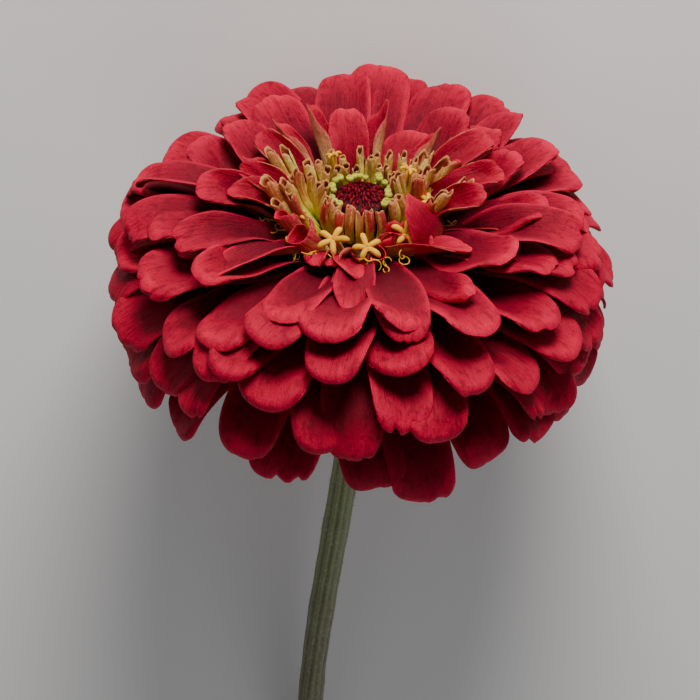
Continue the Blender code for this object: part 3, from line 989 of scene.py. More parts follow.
    # Florets between the whorls, by the piece that carries them.
    extra: dict = field(default_factory=lambda: {
        "1c": (Floret(-50, 1.2, 1, 8.5, lift=-2.2, curl=4, twist=26, cup=62, lip=50, taper=0.5,
                      seed=920),),
        "1d": (Floret(13, 1.6, 1.6, 11.5, lift=-3.2, curl=26, cup=24, lip=0, tone=0.0, seed=929),),
        "1f": (Floret(-3, 1.0, 0.8, 8.5, stretch=0.84, lift=-2.6, curl=24, twist=-18, cup=44,
                      lip=-24, taper=0.5, ruffle=0.6, tone=1.0, seed=940),),
        "2a": (Floret(-160, 2.4, 2, 13.5, seed=910),),
        "2b": (Floret(-66, 1.2, 2, 10.5, lift=0.6, curl=8, twist=-20, cup=66, lip=46, seed=921),
               Floret(-99, 2.2, 2, 11.5, lift=1.6, twist=18, cup=60, lip=34, seed=922),
               Floret(-84, 2.9, 3, 12.0, lift=0.6, twist=-16, cup=52, lip=30, seed=925)),
        "3d": (Floret(74, 2.2, 3, 12.5, lift=0.8, twist=16, cup=50, lip=34, seed=923),),
        "3f": (Floret(120, 3.4, 3, 14.0, seed=907),),
        "4b": (Floret(-92, 4.4, 4, 13.0, twist=-16, cup=46, lip=10, seed=924),
               Floret(-108, 3.6, 4, 12.5, twist=14, cup=46, lip=20, seed=926)),
        "4c": (Floret(-37, 4.4, 4, 13.0, seed=901),),
        "4d": (Floret(68, 4.2, 4, 13.0, curl=16, twist=10, cup=40, lip=20, seed=935),),
        "4e": (Floret(80, 3.6, 4, 14.0, seed=908),),
        "5a": (Floret(-124, 4.6, 5, 14.0, seed=905),
               Floret(-158, 5.0, 5, 14.0, seed=906)),
        "5b": (Floret(-84, 5.2, 5, 13.5, cup=40, seed=927),),
        "5e": (Floret(88, 5.0, 5, 13.5, curl=10, cup=36, lip=20, seed=930),
               Floret(67, 5.3, 5, 13.0, curl=16, cup=36, lip=10, seed=931)),
        "6b": (Floret(-88, 6.2, 6, 13.5, cup=40, seed=928),),
        "6d": (Floret(76, 6.0, 6, 13.5, curl=14, cup=34, lip=6, seed=932),
               Floret(54, 6.6, 6, 12.0, curl=20, twist=20, cup=34, lip=0, seed=936)),
        "6e": (Floret(-2, 6.0, 6, 13.0, seed=902),),
        "6f": (Floret(111, 5.6, 6, 14.0, seed=909),),
        "7b": (Floret(-68, 6.5, 7, 13.5, seed=903),),
        "7e": (Floret(90, 6.6, 7, 13.5, curl=14, cup=34, seed=933),
               Floret(60, 7.2, 7, 13.0, curl=16, cup=30, seed=934)),
        "8a": (Floret(-150, 7.4, 8, 14.0, seed=911),
               Floret(-110, 7.4, 8, 14.0, seed=912)),
        "8c": (Floret(-70, 7.6, 8, 13.5, seed=917),),
        "8e": (Floret(82, 7.5, 8, 14.0, seed=913),
               Floret(113, 7.4, 8, 14.0, seed=914)),
        "8f": (Floret(143, 7.5, 8, 14.0, seed=915),
               Floret(174, 7.4, 8, 14.0, seed=916))})

    def floret(self, whorl: int, azimuth: int) -> Floret:
        """Shape one floret: its whorl's form with small differences, then its own."""
        seed = whorl * 1000 + azimuth + 200
        rng = np.random.default_rng(seed)
        back = 0.5 - 0.5 * math.cos(math.radians(azimuth))
        low = min(1.0, whorl / 7.0)
        aside = abs(math.sin(math.radians(azimuth))) ** 2
        order = self.azimuths[whorl - 1].index(azimuth)
        made = Floret(
            azimuth=azimuth + rng.uniform(-2, 2), level=whorl + rng.uniform(-0.35, 0.15),
            claw=whorl,
            width=self.widths[whorl - 1] * rng.uniform(0.92, 1.08) * (0.92 + 0.08 * back),
            stretch=rng.uniform(0.96, 1.02),
            lift=rng.uniform(-0.9, 1.3) + (0.7 if order % 2 else -0.7),
            curl=rng.uniform(16, 40) * (1 - 0.5 * back) * (1 - 0.6 * aside),
            twist=rng.uniform(-22, 22),
            sweep=rng.uniform(-6, 6), cup=rng.uniform(32, 56) + 10 * aside,
            lip=rng.uniform(4, 34) - 24 * low + 14 * aside, taper=rng.uniform(0.80, 0.94),
            notch=rng.choice([0.0, 0.0, 0.008, 0.02]), ruffle=rng.uniform(0.2, 0.75), seed=seed,
            hollow=rng.uniform(22, 52) * (1 - 0.5 * low), roll=rng.uniform(0.7, 1.3))
        return replace(made, **self.special.get(whorl, {}).get(azimuth, {}))

    def build(self, head: Head, finish: bpy.types.Material) -> int:
        """Build every piece of the whorls.

        Args:
            head: Where the head lies.
            finish: The rays' material.

        Returns:
            The number of rays.
        """
        total = 0
        for number, ring in enumerate(self.azimuths, start=1):
            for pair, letter in enumerate("abcdef"):
                code = f"{number}{letter}"
                florets = [self.floret(number, azimuth) for azimuth in ring[2 * pair:2 * pair + 2]]
                florets += self.extra.get(code, ())
                skin = Skin()
                for floret in florets:
                    self.maker.add(skin, floret)
                skin.build(f"rays_{code}", head, finish, Slot.RAYS, f"ray_pair_{code}")
                total += len(florets)
        return total


@dataclass(frozen=True)
class RollFloret:
    """A floret rolled into a tube with an oblique mouth.

    Attributes:
        azimuth: Degrees from the front.
        base: Radius and height of its foot in millimetres.
        top: Radius and height of its mouth.
        girth: Flat half-width at the foot and at the mouth.
        open: Half-angle in degrees at the mouth; from 180 on its sides meet or overlap.
        slant: How much shorter the inner lip is, as a share of the length.
        seed: Picks its tone and its waves.
        swing: Degrees of azimuth from the foot to the mouth.
        turn: Degrees that the mouth turns about the mid-line.
        reverse: How much of the face's colour its back takes.
        part: Share of the length at which the sides begin to part.
        notch: Depth of the nick in its rim, as a share of the length.
        shut: Half-angle in degrees at the foot.
        slim: Share by which the girth is cut down.
    """

    azimuth: float
    base: tuple[float, float]
    top: tuple[float, float]
    girth: tuple[float, float] = (1.6, 3.6)
    open: float = 160.0
    slant: float = 0.2
    seed: int = 0
    swing: float = 0.0
    turn: float = 0.0
    reverse: float = 0.0
    part: float = 0.45
    notch: float = 0.10
    shut: float = 186.0
    slim: float = 0.0


@dataclass
class RolledFlorets:
    """The crown of rolled florets: an upright inner ring and a ring that leans out.

    Attributes:
        rows: Points along a floret.
        columns: Points across it.
        thickness: Thickness in millimetres.
        overlap: Share by which one side is wider than the other.
        pinch: Share by which the mouth is drawn in.
        inner_count: Florets of the inner ring.
        outer_azimuths: Where the leaning tubes stand, in degrees.
        spoon_azimuths: Where the wider, outermost ones stand.
    """

    rows: int = 18
    columns: int = 21
    thickness: float = 0.26
    overlap: float = 0.15
    pinch: float = 0.14
    inner_count: int = 23
    outer_azimuths: tuple = tuple(range(71, 299, 10))
    spoon_azimuths: tuple = (78, 92, 107, 125, 236, 250, 264, 277, 290)

    def inner(self) -> list[RollFloret]:
        """Return the upright florets close round the chaff."""
        rng = np.random.default_rng(11)
        places = [number * 360 / self.inner_count for number in range(self.inner_count)]
        return [RollFloret(
            azimuth=place + rng.uniform(-4, 4), base=(7.1 + 0.7 * (number % 2), -6.6),
            top=(7.5 + 1.2 * (number % 2) + rng.uniform(-0.3, 0.4),
                 rng.uniform(2.2, 4.4) - 1.5 * max(0.0, math.cos(math.radians(place)))),
            girth=(2.0, rng.uniform(2.6, 3.4)), open=rng.uniform(172, 194),
            slant=rng.uniform(0.04, 0.16), seed=number + 60, slim=self.slimness(place))
            for number, place in enumerate(places)]

    @staticmethod
    def slimness(azimuth: float) -> float:
        """Return how much slimmer a tube is: by a quarter at the very back."""
        return 0.25 * max(0.0, -math.cos(math.radians(azimuth)))

    @staticmethod
    def outer_top(azimuth: float, rng: np.random.Generator) -> tuple[float, float]:
        """Return a mouth's radius and height: at the back they stand lower and closer in."""
        back = max(0.0, -math.cos(math.radians(azimuth)))
        return (rng.uniform(12.0, 16.5) - 2.6 * back, rng.uniform(2.8, 6.8) - 3.0 * back)

    def outer(self) -> list[RollFloret]:
        """Return the longer florets that lean out at the sides and the back, then spoons."""
        rng = np.random.default_rng(12)
        tubes = [RollFloret(
            azimuth=azimuth + rng.uniform(-4, 4),
            base=(9.2, -7.6), top=self.outer_top(azimuth, rng),
            girth=(2.0, rng.uniform(2.8, 3.8)), open=rng.uniform(174, 196),
            slant=rng.uniform(0.04, 0.16), seed=azimuth, slim=self.slimness(azimuth))
            for azimuth in self.outer_azimuths]
        spoons = [RollFloret(
            azimuth=azimuth + rng.uniform(-3, 3),
            base=(10.0, -8.2), top=(rng.uniform(18.0, 22.5), rng.uniform(3.2, 7.2)),
            girth=(2.0, rng.uniform(3.2, 4.6)), open=rng.uniform(150, 190),
            slant=rng.uniform(0.08, 0.20), seed=azimuth + 400) for azimuth in self.spoon_azimuths]
        return tubes + spoons

    def add(self, skin: Skin, floret: RollFloret) -> None:
        """Add one floret: a leaf whose sides roll up until they nearly meet.

        The mid-line bows outwards from foot to mouth, the half-width grows as the share
        along to the power 0.8 and is pinched a little at the mouth, whose far lip stands
        higher than the near one. The sides are rolled by `shut` up to `part`, and from
        there on open out to `open`.
        """
        rng = np.random.default_rng(floret.seed)
        share = np.linspace(0, 1, 40)
        bow = 1.1 * np.sin(math.pi * share)
        radius = np.interp(share, (0, 1), (floret.base[0], floret.top[0])) + bow
        height = np.interp(share, (0, 1), (floret.base[1], floret.top[1]))
        azimuth = math.radians(floret.azimuth) + share * (math.radians(floret.swing)
                                                          + rng.uniform(-0.06, 0.06))
        turn = math.radians(floret.turn) + rng.uniform(-0.3, 0.3)
        frames = leaf_frames(azimuth, radius, height, turn * smooth_step(share / 0.6))
        across = np.linspace(-1, 1, self.columns)[None, :] + np.zeros((self.rows, 1))
        row = np.linspace(0, 1, self.rows)[:, None]
        along = row * (1 - floret.slant * np.abs(across) ** 1.6
                       + 0.035 * np.sin(across * 7 + floret.seed)
                       - floret.notch * np.exp(-((across - 0.35) / 0.14) ** 2))
        half = floret.girth[0] + (floret.girth[1] - floret.girth[0]) * row ** 0.8
        half = half * (1 - floret.slim) * (1 + self.overlap * across)
        half = half * (1 - self.pinch * smooth_step((row - 0.84) / 0.16))
        parted = smooth_step((row - floret.part) / (1 - floret.part))
        bend = np.radians(floret.shut + (floret.open - floret.shut) * parted) + 0 * across
        length = math.dist(floret.base, floret.top)
        wave = (0.16 * np.sin(across * 5 + row * 6 + floret.seed) * row
                + 0.05 * np.sin(across * 17 + floret.seed))
        points = sweep_leaf(frames, np.clip(along, 0, 1), across, half, bend, wave)
        tone = np.clip(0.5 + 0.5 * math.cos(math.radians(floret.azimuth))
                       + rng.uniform(-0.3, 0.45), 0, 1)
        add_leaf(skin, points, self.thickness * (1 - 0.5 * row ** 4) + 0 * across,
                 (across * half, along * length), (row, 0.6 * np.abs(across), tone),
                 floret.reverse)

    def build(self, head: Head, finish: bpy.types.Material) -> int:
        """Build both rings and return the number of florets."""
        rings = (("rolled_ring_inner", "rolled_florets_inner", self.inner()),
                 ("rolled_ring_outer", "rolled_florets_outer", self.outer()))
        for name, node, florets in rings:
            skin = Skin()
            for floret in florets:
                self.add(skin, floret)
            skin.build(name, head, finish, Slot.ROLLED, node)
        return sum(len(florets) for _, _, florets in rings)


@dataclass
class YoungRays:
    """Cupped and half-rolled rays that stand round the disc, in two pieces."""

    maker: BladeMaker
    roller: RolledFlorets
    left: tuple = (
        Floret(-172, 0.0, 0, 9.0, stretch=0.78, lift=5.0, cup=50, lip=30, curl=6, tone=0.9,
               seed=30),
        Floret(-127, 0.1, 0, 8.5, stretch=0.86, lift=3.4, cup=84, lip=72, curl=-4, twist=-40,
               tone=0.0, seed=51),
        Floret(-99, 0.0, 0, 8.5, stretch=0.84, lift=3.4, cup=86, lip=74, curl=0, twist=-38,
               tone=0.0, seed=52),
        Floret(-84, 0.1, 0, 10.5, stretch=0.9, lift=1.6, cup=80, lip=60, curl=8, tone=0.1,
               seed=34),
        Floret(-34, 0.2, 0.5, 7.0, stretch=0.50, lift=0, sweep=8, cup=60, lip=40, twist=30,
               tone=0.9, seed=35),
        Floret(-17, 0.3, 0.5, 8.0, stretch=0.46, lift=1, twist=50, cup=80, lip=70, taper=0.6,
               tone=0.8, seed=36),
        Floret(-15, 0.6, 0.5, 6.5, stretch=0.60, lift=0.4, twist=-30, sweep=18, cup=40, lip=24,
               taper=0.12, curl=40, tone=1.0, seed=37),
        Floret(-4, 0.2, 0.5, 6.0, stretch=0.34, lift=0, sweep=10, cup=70, lip=60, twist=-40,
               tone=1.0, seed=38))
    right: tuple = (
        Floret(96, 0.1, 0, 9.0, lift=1.6, cup=80, lip=60, curl=0, twist=24, tone=0.1, seed=41),
        Floret(118, 0.2, 0, 9.0, lift=2.6, cup=80, lip=60, curl=0, twist=20, tone=0.2, seed=42),
        Floret(149, 0.0, 0, 12.0, stretch=0.76, lift=1.8, cup=34, lip=20, curl=0, tone=0.8,
               seed=49),
        Floret(78, 0.0, 0, 8.5, stretch=0.88, lift=3.0, cup=84, lip=70, curl=0, twist=36,
               tone=0.0, seed=53),
        Floret(26, 0.2, 0.4, 8.0, stretch=0.26, lift=5, twist=-40, sweep=10, cup=80, lip=60,
               ruffle=0.9, tone=1.0, seed=46),
        Floret(32, 0.6, 0.6, 10.0, stretch=0.62, lift=0.6, twist=-20, sweep=26, cup=56, lip=40,
               taper=0.92, ruffle=1.1, tone=1.0, seed=47),
        Floret(46, 0.2, 0.5, 7.0, stretch=0.44, lift=1, twist=40, cup=60, lip=30, tone=0.9,
               seed=48))
    # Half-open ones, seen into from the front.
    left_rolled: tuple = (
        RollFloret(-34, (11.4, -8.4), (19.8, -1.0), (2.0, 10.2), 178, 0.0, 901, -11, 0, 0.25, 0.4,
                   0.0),
        RollFloret(-153, (9.8, -7.9), (25.0, 7.4), (2.2, 5.2), 120, 0.35, 910, 0, 34, 0, 0.15,
                   0.02),
        RollFloret(-138, (9.8, -7.9), (26.6, 5.0), (2.2, 5.4), 114, 0.35, 911, 0, 44, 0, 0.15,
                   0.02),
        RollFloret(-112, (10.0, -8.0), (25.0, 4.0), (2.2, 5.6), 108, 0.35, 912, 0, 34, 0, 0.15,
                   0.02),
        RollFloret(-56, (10.4, -8.4), (19.0, 1.4), (2.0, 5.2), 170, 0.10, 903, -6, -20, 0.2, 0.5,
                   0.03))
    right_rolled: tuple = (
        RollFloret(15, (10.6, -8.6), (17.6, -2.2), (2.2, 6.2), 196, 0.12, 902, 2, 30, 1.0, 0.45,
                   0.04),
        RollFloret(54, (18.4, -3.8), (12.0, 6.4), (6.4, 5.6), 24, 0.40, 905, -11, 4, 1.0, 0.0,
                   0.0, 46),
        RollFloret(35, (12.6, -6.2), (11.4, 1.6), (2.8, 3.8), 64, 0.34, 916, 0, -24, 1.0, 0.1,
                   0.14, 110),
        RollFloret(24, (12.0, -6.6), (13.4, -0.6), (2.6, 3.4), 80, 0.30, 917, 4, 20, 1.0, 0.1,
                   0.10, 120),
        RollFloret(168, (9.6, -7.8), (22.6, 8.2), (2.2, 4.8), 118, 0.40, 913, 0, -34, 0, 0.15,
                   0.02),
        RollFloret(131, (10.0, -8.0), (22.0, 6.4), (2.2, 5.0), 120, 0.35, 914, 0, -44, 0, 0.15,
                   0.02),
        RollFloret(108, (10.0, -8.0), (21.0, 4.6), (2.2, 5.0), 124, 0.30, 915, 0, -34, 0, 0.15,
                   0.02))

    def build(self, head: Head, finish: bpy.types.Material) -> int:
        """Build both pieces and return the number of florets."""
        sides = (("left", self.left, self.left_rolled), ("right", self.right, self.right_rolled))
        for side, florets, rolled in sides:
            skin = Skin()
            for floret in florets:
                self.maker.add(skin, floret)
            for floret in rolled:
                self.roller.add(skin, floret)
            skin.build(f"young_ray_florets_{side}", head, finish, Slot.YOUNG_RAYS,
                       f"young_rays_{side}")
        return sum(len(florets) + len(rolled) for _, florets, rolled in sides)


def solid_rank(rows: int, columns: int, low: float, high: float, tone: float) -> Array:
    """Return the rank of a tube: its share along runs from low to high.

    Args:
        rows: Rings of the tube.
        columns: Points in a ring.
        low: Share at the first ring.
        high: Share at the last ring.
        tone: The piece's tone.

    Returns:
        (rows * columns + 2, 3) values, with the two end points last.
    """
    share = np.append(np.repeat(np.linspace(low, high, rows), columns), [low, high])
    return np.stack([share, np.ones_like(share), np.full_like(share, tone)], axis=-1)


def add_tube(skin: Skin, path: Array, radius: Array, sides: int, tone: float,
             low: float = 0.0, high: float = 1.0) -> None:
    """Add a closed tube to a skin, with its share along from low to high."""
    points, faces = tube_along(path, radius, sides)
    skin.add(points, faces, np.zeros_like(points),
             solid_rank(len(path), sides, low, high, tone))


@dataclass
class ChaffDisc:
    """The dark centre: a low dome set with pointed scales.

    Attributes:
        dome_radius: Radius of the dome in millimetres.
        foot: Height of its foot.
        scales: Number of scales.
        reach: Radius of the outermost ones.
        golden_angle: Turn from one scale to the next, in radians.
        scale_radii: A scale's radii from foot to point.
    """

    dome_radius: float = 5.7
    foot: float = -6.1
    scales: int = 118
    reach: float = 5.35
    golden_angle: float = 2.39996
    scale_radii: tuple = (0.36, 0.40, 0.32, 0.19, 0.05)

    def build(self, head: Head, finish: bpy.types.Material) -> int:
        """Build the dome and its scales, set out on a sunflower spiral."""
        skin = Skin()
        share = np.linspace(0, 1, 12)
        heights = np.concatenate([[self.foot, -3.0], -0.2 + 0.5 * share])
        radii = np.concatenate([[5.0, self.dome_radius], (self.dome_radius - 0.3)
                                * np.sqrt(1 - (0.98 * share) ** 2)])
        path = np.stack([0 * heights, 0 * heights, heights], axis=-1)
        add_tube(skin, path, radii, 36, 0.3, 0.0, 0.1)
        rng = np.random.default_rng(5)
        for number in range(self.scales):
            radius = self.reach * math.sqrt((number + 0.5) / self.scales) + rng.uniform(-0.2, 0.2)
            azimuth = number * self.golden_angle + rng.uniform(-0.2, 0.2)
            lean = radius / self.reach
            out = spoke(azimuth)
            foot = radius * out + (0, 0, 0.3 - 0.7 * lean ** 2)
            step = np.linspace(0, 1, len(self.scale_radii))[:, None]
            tall = rng.uniform(0.6, 1.3)
            path = (foot + UP * tall * step
                    + out * (-0.5 * lean + rng.uniform(-0.5, 0.5)) * step ** 2)
            radii = np.array(self.scale_radii) * rng.uniform(0.85, 1.15)
            add_tube(skin, path, radii, 6, rng.uniform(0, 1), 0.15, 1.0)
        skin.build("chaff_scales", head, finish, Slot.CHAFF, "chaff_disc")
        return self.scales


@dataclass
class DiscBuds:
    """Round unopened disc florets with a dimple, in a ring round the chaff.

    Attributes:
        count: Number of buds.
        sides: Points around one.
        first: Azimuth of the first in degrees.
        span: Degrees of azimuth from the first to the last, open at the front.
        outline: Radii and heights of a bud, from its stalk to its dimple.
    """

    count: int = 19
    sides: int = 14
    first: float = 48.0
    span: float = 264.0
    outline: tuple = ((0.30, -2.6), (0.34, -1.2), (0.62, -0.75), (0.80, -0.35), (0.86, 0.0),
                      (0.80, 0.36), (0.60, 0.62), (0.36, 0.66), (0.16, 0.50), (0.04, 0.42))

    def build(self, head: Head, finish: bpy.types.Material) -> int:
        """Build the buds, each turned on its own short stalk and crowded away from the front."""
        skin = Skin()
        rng = np.random.default_rng(21)
        outline = np.array(self.outline)
        for number in range(self.count):
            azimuth = math.radians(self.first + number * self.span / (self.count - 1)
                                   + rng.uniform(-6, 6))
            size = rng.uniform(0.70, 0.98)
            radius = rng.uniform(5.3, 6.1)
            height = rng.uniform(0.9, 1.9)
            lean = np.array([rng.uniform(-0.1, 0.3), rng.uniform(-0.1, 0.3), 0.0])
            axis = unit(spoke(azimuth) * lean + UP)
            path = spoke(azimuth) * radius + UP * height + axis * (outline[:, 1:] * size)
            add_tube(skin, path, outline[:, 0] * size, self.sides, rng.uniform(0, 1))
        skin.build("unopened_disc_florets", head, finish, Slot.BUDS, "disc_floret_buds")
        return self.count


@dataclass(frozen=True)
class StarFloret:
    """An open disc floret.

    Attributes:
        name: The piece's name.
        azimuth: Degrees from the front.
        radius: Radius of its throat in millimetres.
        height: Height of its throat.
        turn: Turn of its lobes in radians.
        size: Its scale.
        node: The CAD node that it stands for, if any.
    """

    name: str
    azimuth: float
    radius: float = 14.0
    height: float = -1.0
    turn: float = 0.0
    size: float = 1.0
    node: str = ""


@dataclass
class StarFlorets:
    """Open disc florets: a slim tube that parts into five downy, recurved lobes."""

    florets: tuple = (
        StarFloret("star_left", -23, 14.2, -0.9, 0.2, 1.05, "disc_floret_left"),
        StarFloret("star_middle", 4, 15.2, -1.2, 0.5, 1.0, "disc_floret_middle"),
        StarFloret("star_right", 37, 14.6, -0.6, 0.9, 1.0, "disc_floret_right"),
        StarFloret("star_far_left", -71, 13.2, -1.4, 0.3, 0.6),
        StarFloret("star_far_right", 79, 13.4, 0.6, 0.1, 0.8),
        StarFloret("star_back_right", 118, 10.6, 3.2, 0.4, 0.62),
        StarFloret("star_back_left", -150, 11.0, 3.4, 0.4, 0.55),
    )
    lobes: int = 5
    seat_radius: float = 9.2
    seat_height: float = -7.6
    curve: float = 1.45                 # radians of a sine that a lobe's reach follows

    def shape(self, star: StarFloret) -> Skin:
        """Shape one floret from its foot on the receptacle to its lobes' tips."""
        skin = Skin()
        rng = np.random.default_rng(int(abs(star.azimuth)) + 5)
        out = spoke(math.radians(star.azimuth))
        throat = out * star.radius + UP * star.height
        foot = out * self.seat_radius + UP * self.seat_height
        share = np.linspace(0, 1, 9)[:, None]
        path = foot + (throat - foot) * share - out * 0.6 * np.sin(math.pi * share)
        widths = np.interp(share[:, 0], (0, 0.6, 1), (0.5, 0.55, 0.95)) * star.size
        add_tube(skin, path, widths, 10, rng.uniform(0, 1), 0.0, 0.4)
        axis = unit(0.45 * out + 0.9 * UP)
        first = unit(np.cross(axis, out))
        second = np.cross(axis, first)
        for lobe in range(self.lobes):
            angle = 2 * math.pi * lobe / self.lobes + star.turn + rng.uniform(-0.12, 0.12)
            ray = first * math.cos(angle) + second * math.sin(angle)
            step = np.linspace(0, 1, 10)[:, None]
            reach = star.size * rng.uniform(2.5, 3.0)
            path = (throat
                    + ray * (0.15 + reach * np.sin(step * self.curve) / math.sin(self.curve))
                    + axis * star.size * (1.9 * step - 2.5 * step ** 2.2))
            widths = star.size * np.interp(step[:, 0], (0, 0.25, 0.6, 0.85, 1),
                                           (0.40, 0.58, 0.62, 0.42, 0.12))
            add_tube(skin, path, widths, 8, rng.uniform(0, 1), 0.4, 1.0)
        return skin

    def build(self, head: Head, finish: bpy.types.Material) -> int:
        """Build a piece for each floret and return their number."""
        for star in self.florets:
            nodes = (star.node,) if star.node else ()
            self.shape(star).build(star.name, head, finish, Slot.OPEN_DISC, *nodes)
        return len(self.florets)


@dataclass
class CurledStyles:
    """Thin golden styles of the ray florets: each forks into two curled branches."""

    azimuths: tuple = (-88, -78, -66, -54, -43, -33, -22, -12, -2, 8, 18, 27, 38, 49, 62, 74)
    radius: float = 0.15
    tip_radius: float = 0.09
    stalk_points: int = 8
    curl_points: int = 16

    def build(self, head: Head, finish: bpy.types.Material) -> int:
        """Build every style as one piece and return their number."""
        skin = Skin()
        rng = np.random.default_rng(77)
        for degrees in self.azimuths:
            azimuth = math.radians(degrees + rng.uniform(-2, 2))
            out, aside = spoke(azimuth), spoke(azimuth + math.pi / 2)
            foot = out * 10.3 - UP * 9.4
            fork = (out * rng.uniform(15.5, 19.5) + UP * rng.uniform(-4.2, -1.8)
                    + aside * rng.uniform(-1, 1))
            share = np.linspace(0, 1, self.stalk_points)[:, None]
            path = foot + (fork - foot) * share + UP * 1.3 * np.sin(math.pi * share)
            add_tube(skin, path, np.full(len(path), self.radius), 6, 0.5, 0.0, 0.6)
            for hand in (-1, 1):
                turn = np.linspace(0, rng.uniform(2.4, 5.2), self.curl_points)[:, None]
                radius = rng.uniform(0.6, 1.5) * (1 - 0.06 * turn)
                first = unit(aside * hand + out * rng.uniform(-0.4, 0.9)
                             + UP * rng.uniform(-0.6, 0.6))
                second = unit(np.cross(first, out * rng.uniform(-1, 1) + aside * 0.4
                                       + UP * 0.3))
                path = fork + first * radius * np.sin(turn) + second * radius * (1 - np.cos(turn))
                add_tube(skin, path, np.linspace(self.radius, self.tip_radius, len(path)), 6,
                         0.3, 0.6, 1.0)
        skin.build("curled_styles", head, finish, Slot.OPEN_DISC)
        return len(self.azimuths)


@dataclass
class GreenCup:
    """The receptacle under the florets and the three rows of bracts that hold it.

    Attributes:
        outline: Radii and heights of the receptacle, from its foot to its top.
        rows: For each row of bracts its first azimuth in degrees, number, reach and width.
        rings: Points along the receptacle's outline.
        sides: Points around it.
        bract_rows: Points along a bract.
        bract_columns: Points across it.
    """

    outline: tuple = ((0.5, -28.1), (5.2, -28.1), (8.8, -24.2), (10.1, -20.6), (10.9, -17.0),
                      (11.15, -14.0), (10.9, -11.6), (10.4, -9.6), (9.5, -8.2), (7.0, -6.9),
                      (0.5, -6.5))
    rows: tuple = ((0.0, 11, 9.4, 10.0), (16.0, 12, 7.6, 8.6), (4.0, 11, 5.8, 7.2))
    rings: int = 60
    sides: int = 72
    bract_rows: int = 12
    bract_columns: int = 11

    def build_receptacle(self, head: Head, finish: bpy.types.Material) -> None:
        """Turn the receptacle's outline about the head axis, with seats for the claws."""
        outline = np.array(self.outline)
        steps = np.concatenate([[0], np.cumsum(np.hypot(*np.diff(outline, axis=0).T))])
        fine = np.linspace(0, steps[-1], self.rings)
        radii = np.interp(fine, steps, outline[:, 0])
        heights = np.interp(fine, steps, outline[:, 1]) + 1e-4 * np.arange(self.rings)
        angle = np.linspace(0, 2 * math.pi, self.sides, endpoint=False)[None, :]
        dents = 0.16 * np.sin(angle * 13 + heights[:, None] * 2.1) * (radii[:, None] > 8)
        radius = radii[:, None] - 0.2 + dents
        grid = around_axis(np.broadcast_to(angle, radius.shape), radius, heights[:, None]
                           + 0 * radius)
        points, faces = close_rings(grid, UP * heights[[0, -1], None])
        skin = Skin()
        skin.add(points, faces, np.zeros_like(points),
                 solid_rank(self.rings, self.sides, 0.0, 1.0, 0.5))
        skin.build("green_receptacle", head, finish, Slot.RECEPTACLE, "receptacle")

    def build_bracts(self, head: Head, finish: bpy.types.Material) -> int:
        """Lay rows of round bracts like tiles, the outer rows shorter and lower."""
        skin = Skin()
        rng = np.random.default_rng(3)
        for offset, count, reach, width in self.rows:
            for number in range(count):
                azimuth = math.radians(offset + number * 360 / count + rng.uniform(-4, 4))
                share = np.linspace(0, 1, 24)
                lower = (9.4 - reach) * 0.30
                radius = 4.6 + reach * (0.98 * share) ** 0.9 + 0.3 * lower
                height = (-28.9 - 0.45 * lower + reach * 0.52 * share ** 1.5)
                frames = leaf_frames(np.full(24, azimuth), radius, height, 0 * share)
                row = np.linspace(0, 1, self.bract_rows)[:, None]
                across = np.linspace(-1, 1, self.bract_columns)[None, :] + 0 * row
                along = row * (1 - 0.34 * (1 - np.sqrt(1 - (0.98 * across) ** 2)))
                half = width / 2 * (0.45 + 0.55 * smooth_step(row / 0.7)) + 0 * across
                bend = np.radians(26 + 8 * row) + 0 * across
                points = sweep_leaf(frames, along, across, half, bend,
                                    0.1 * np.sin(5 * across + number))
                edge = np.maximum(along, np.abs(across) * smooth_step((along - 0.4) / 0.4))
                add_leaf(skin, points, 0.55 - 0.3 * row ** 3 + 0 * across, (across, along),
                         (edge, np.abs(across), rng.uniform(0, 1)))
        skin.build("green_bracts", head, finish, Slot.BRACTS, "involucre_bracts")
        return sum(count for _, count, _, _ in self.rows)


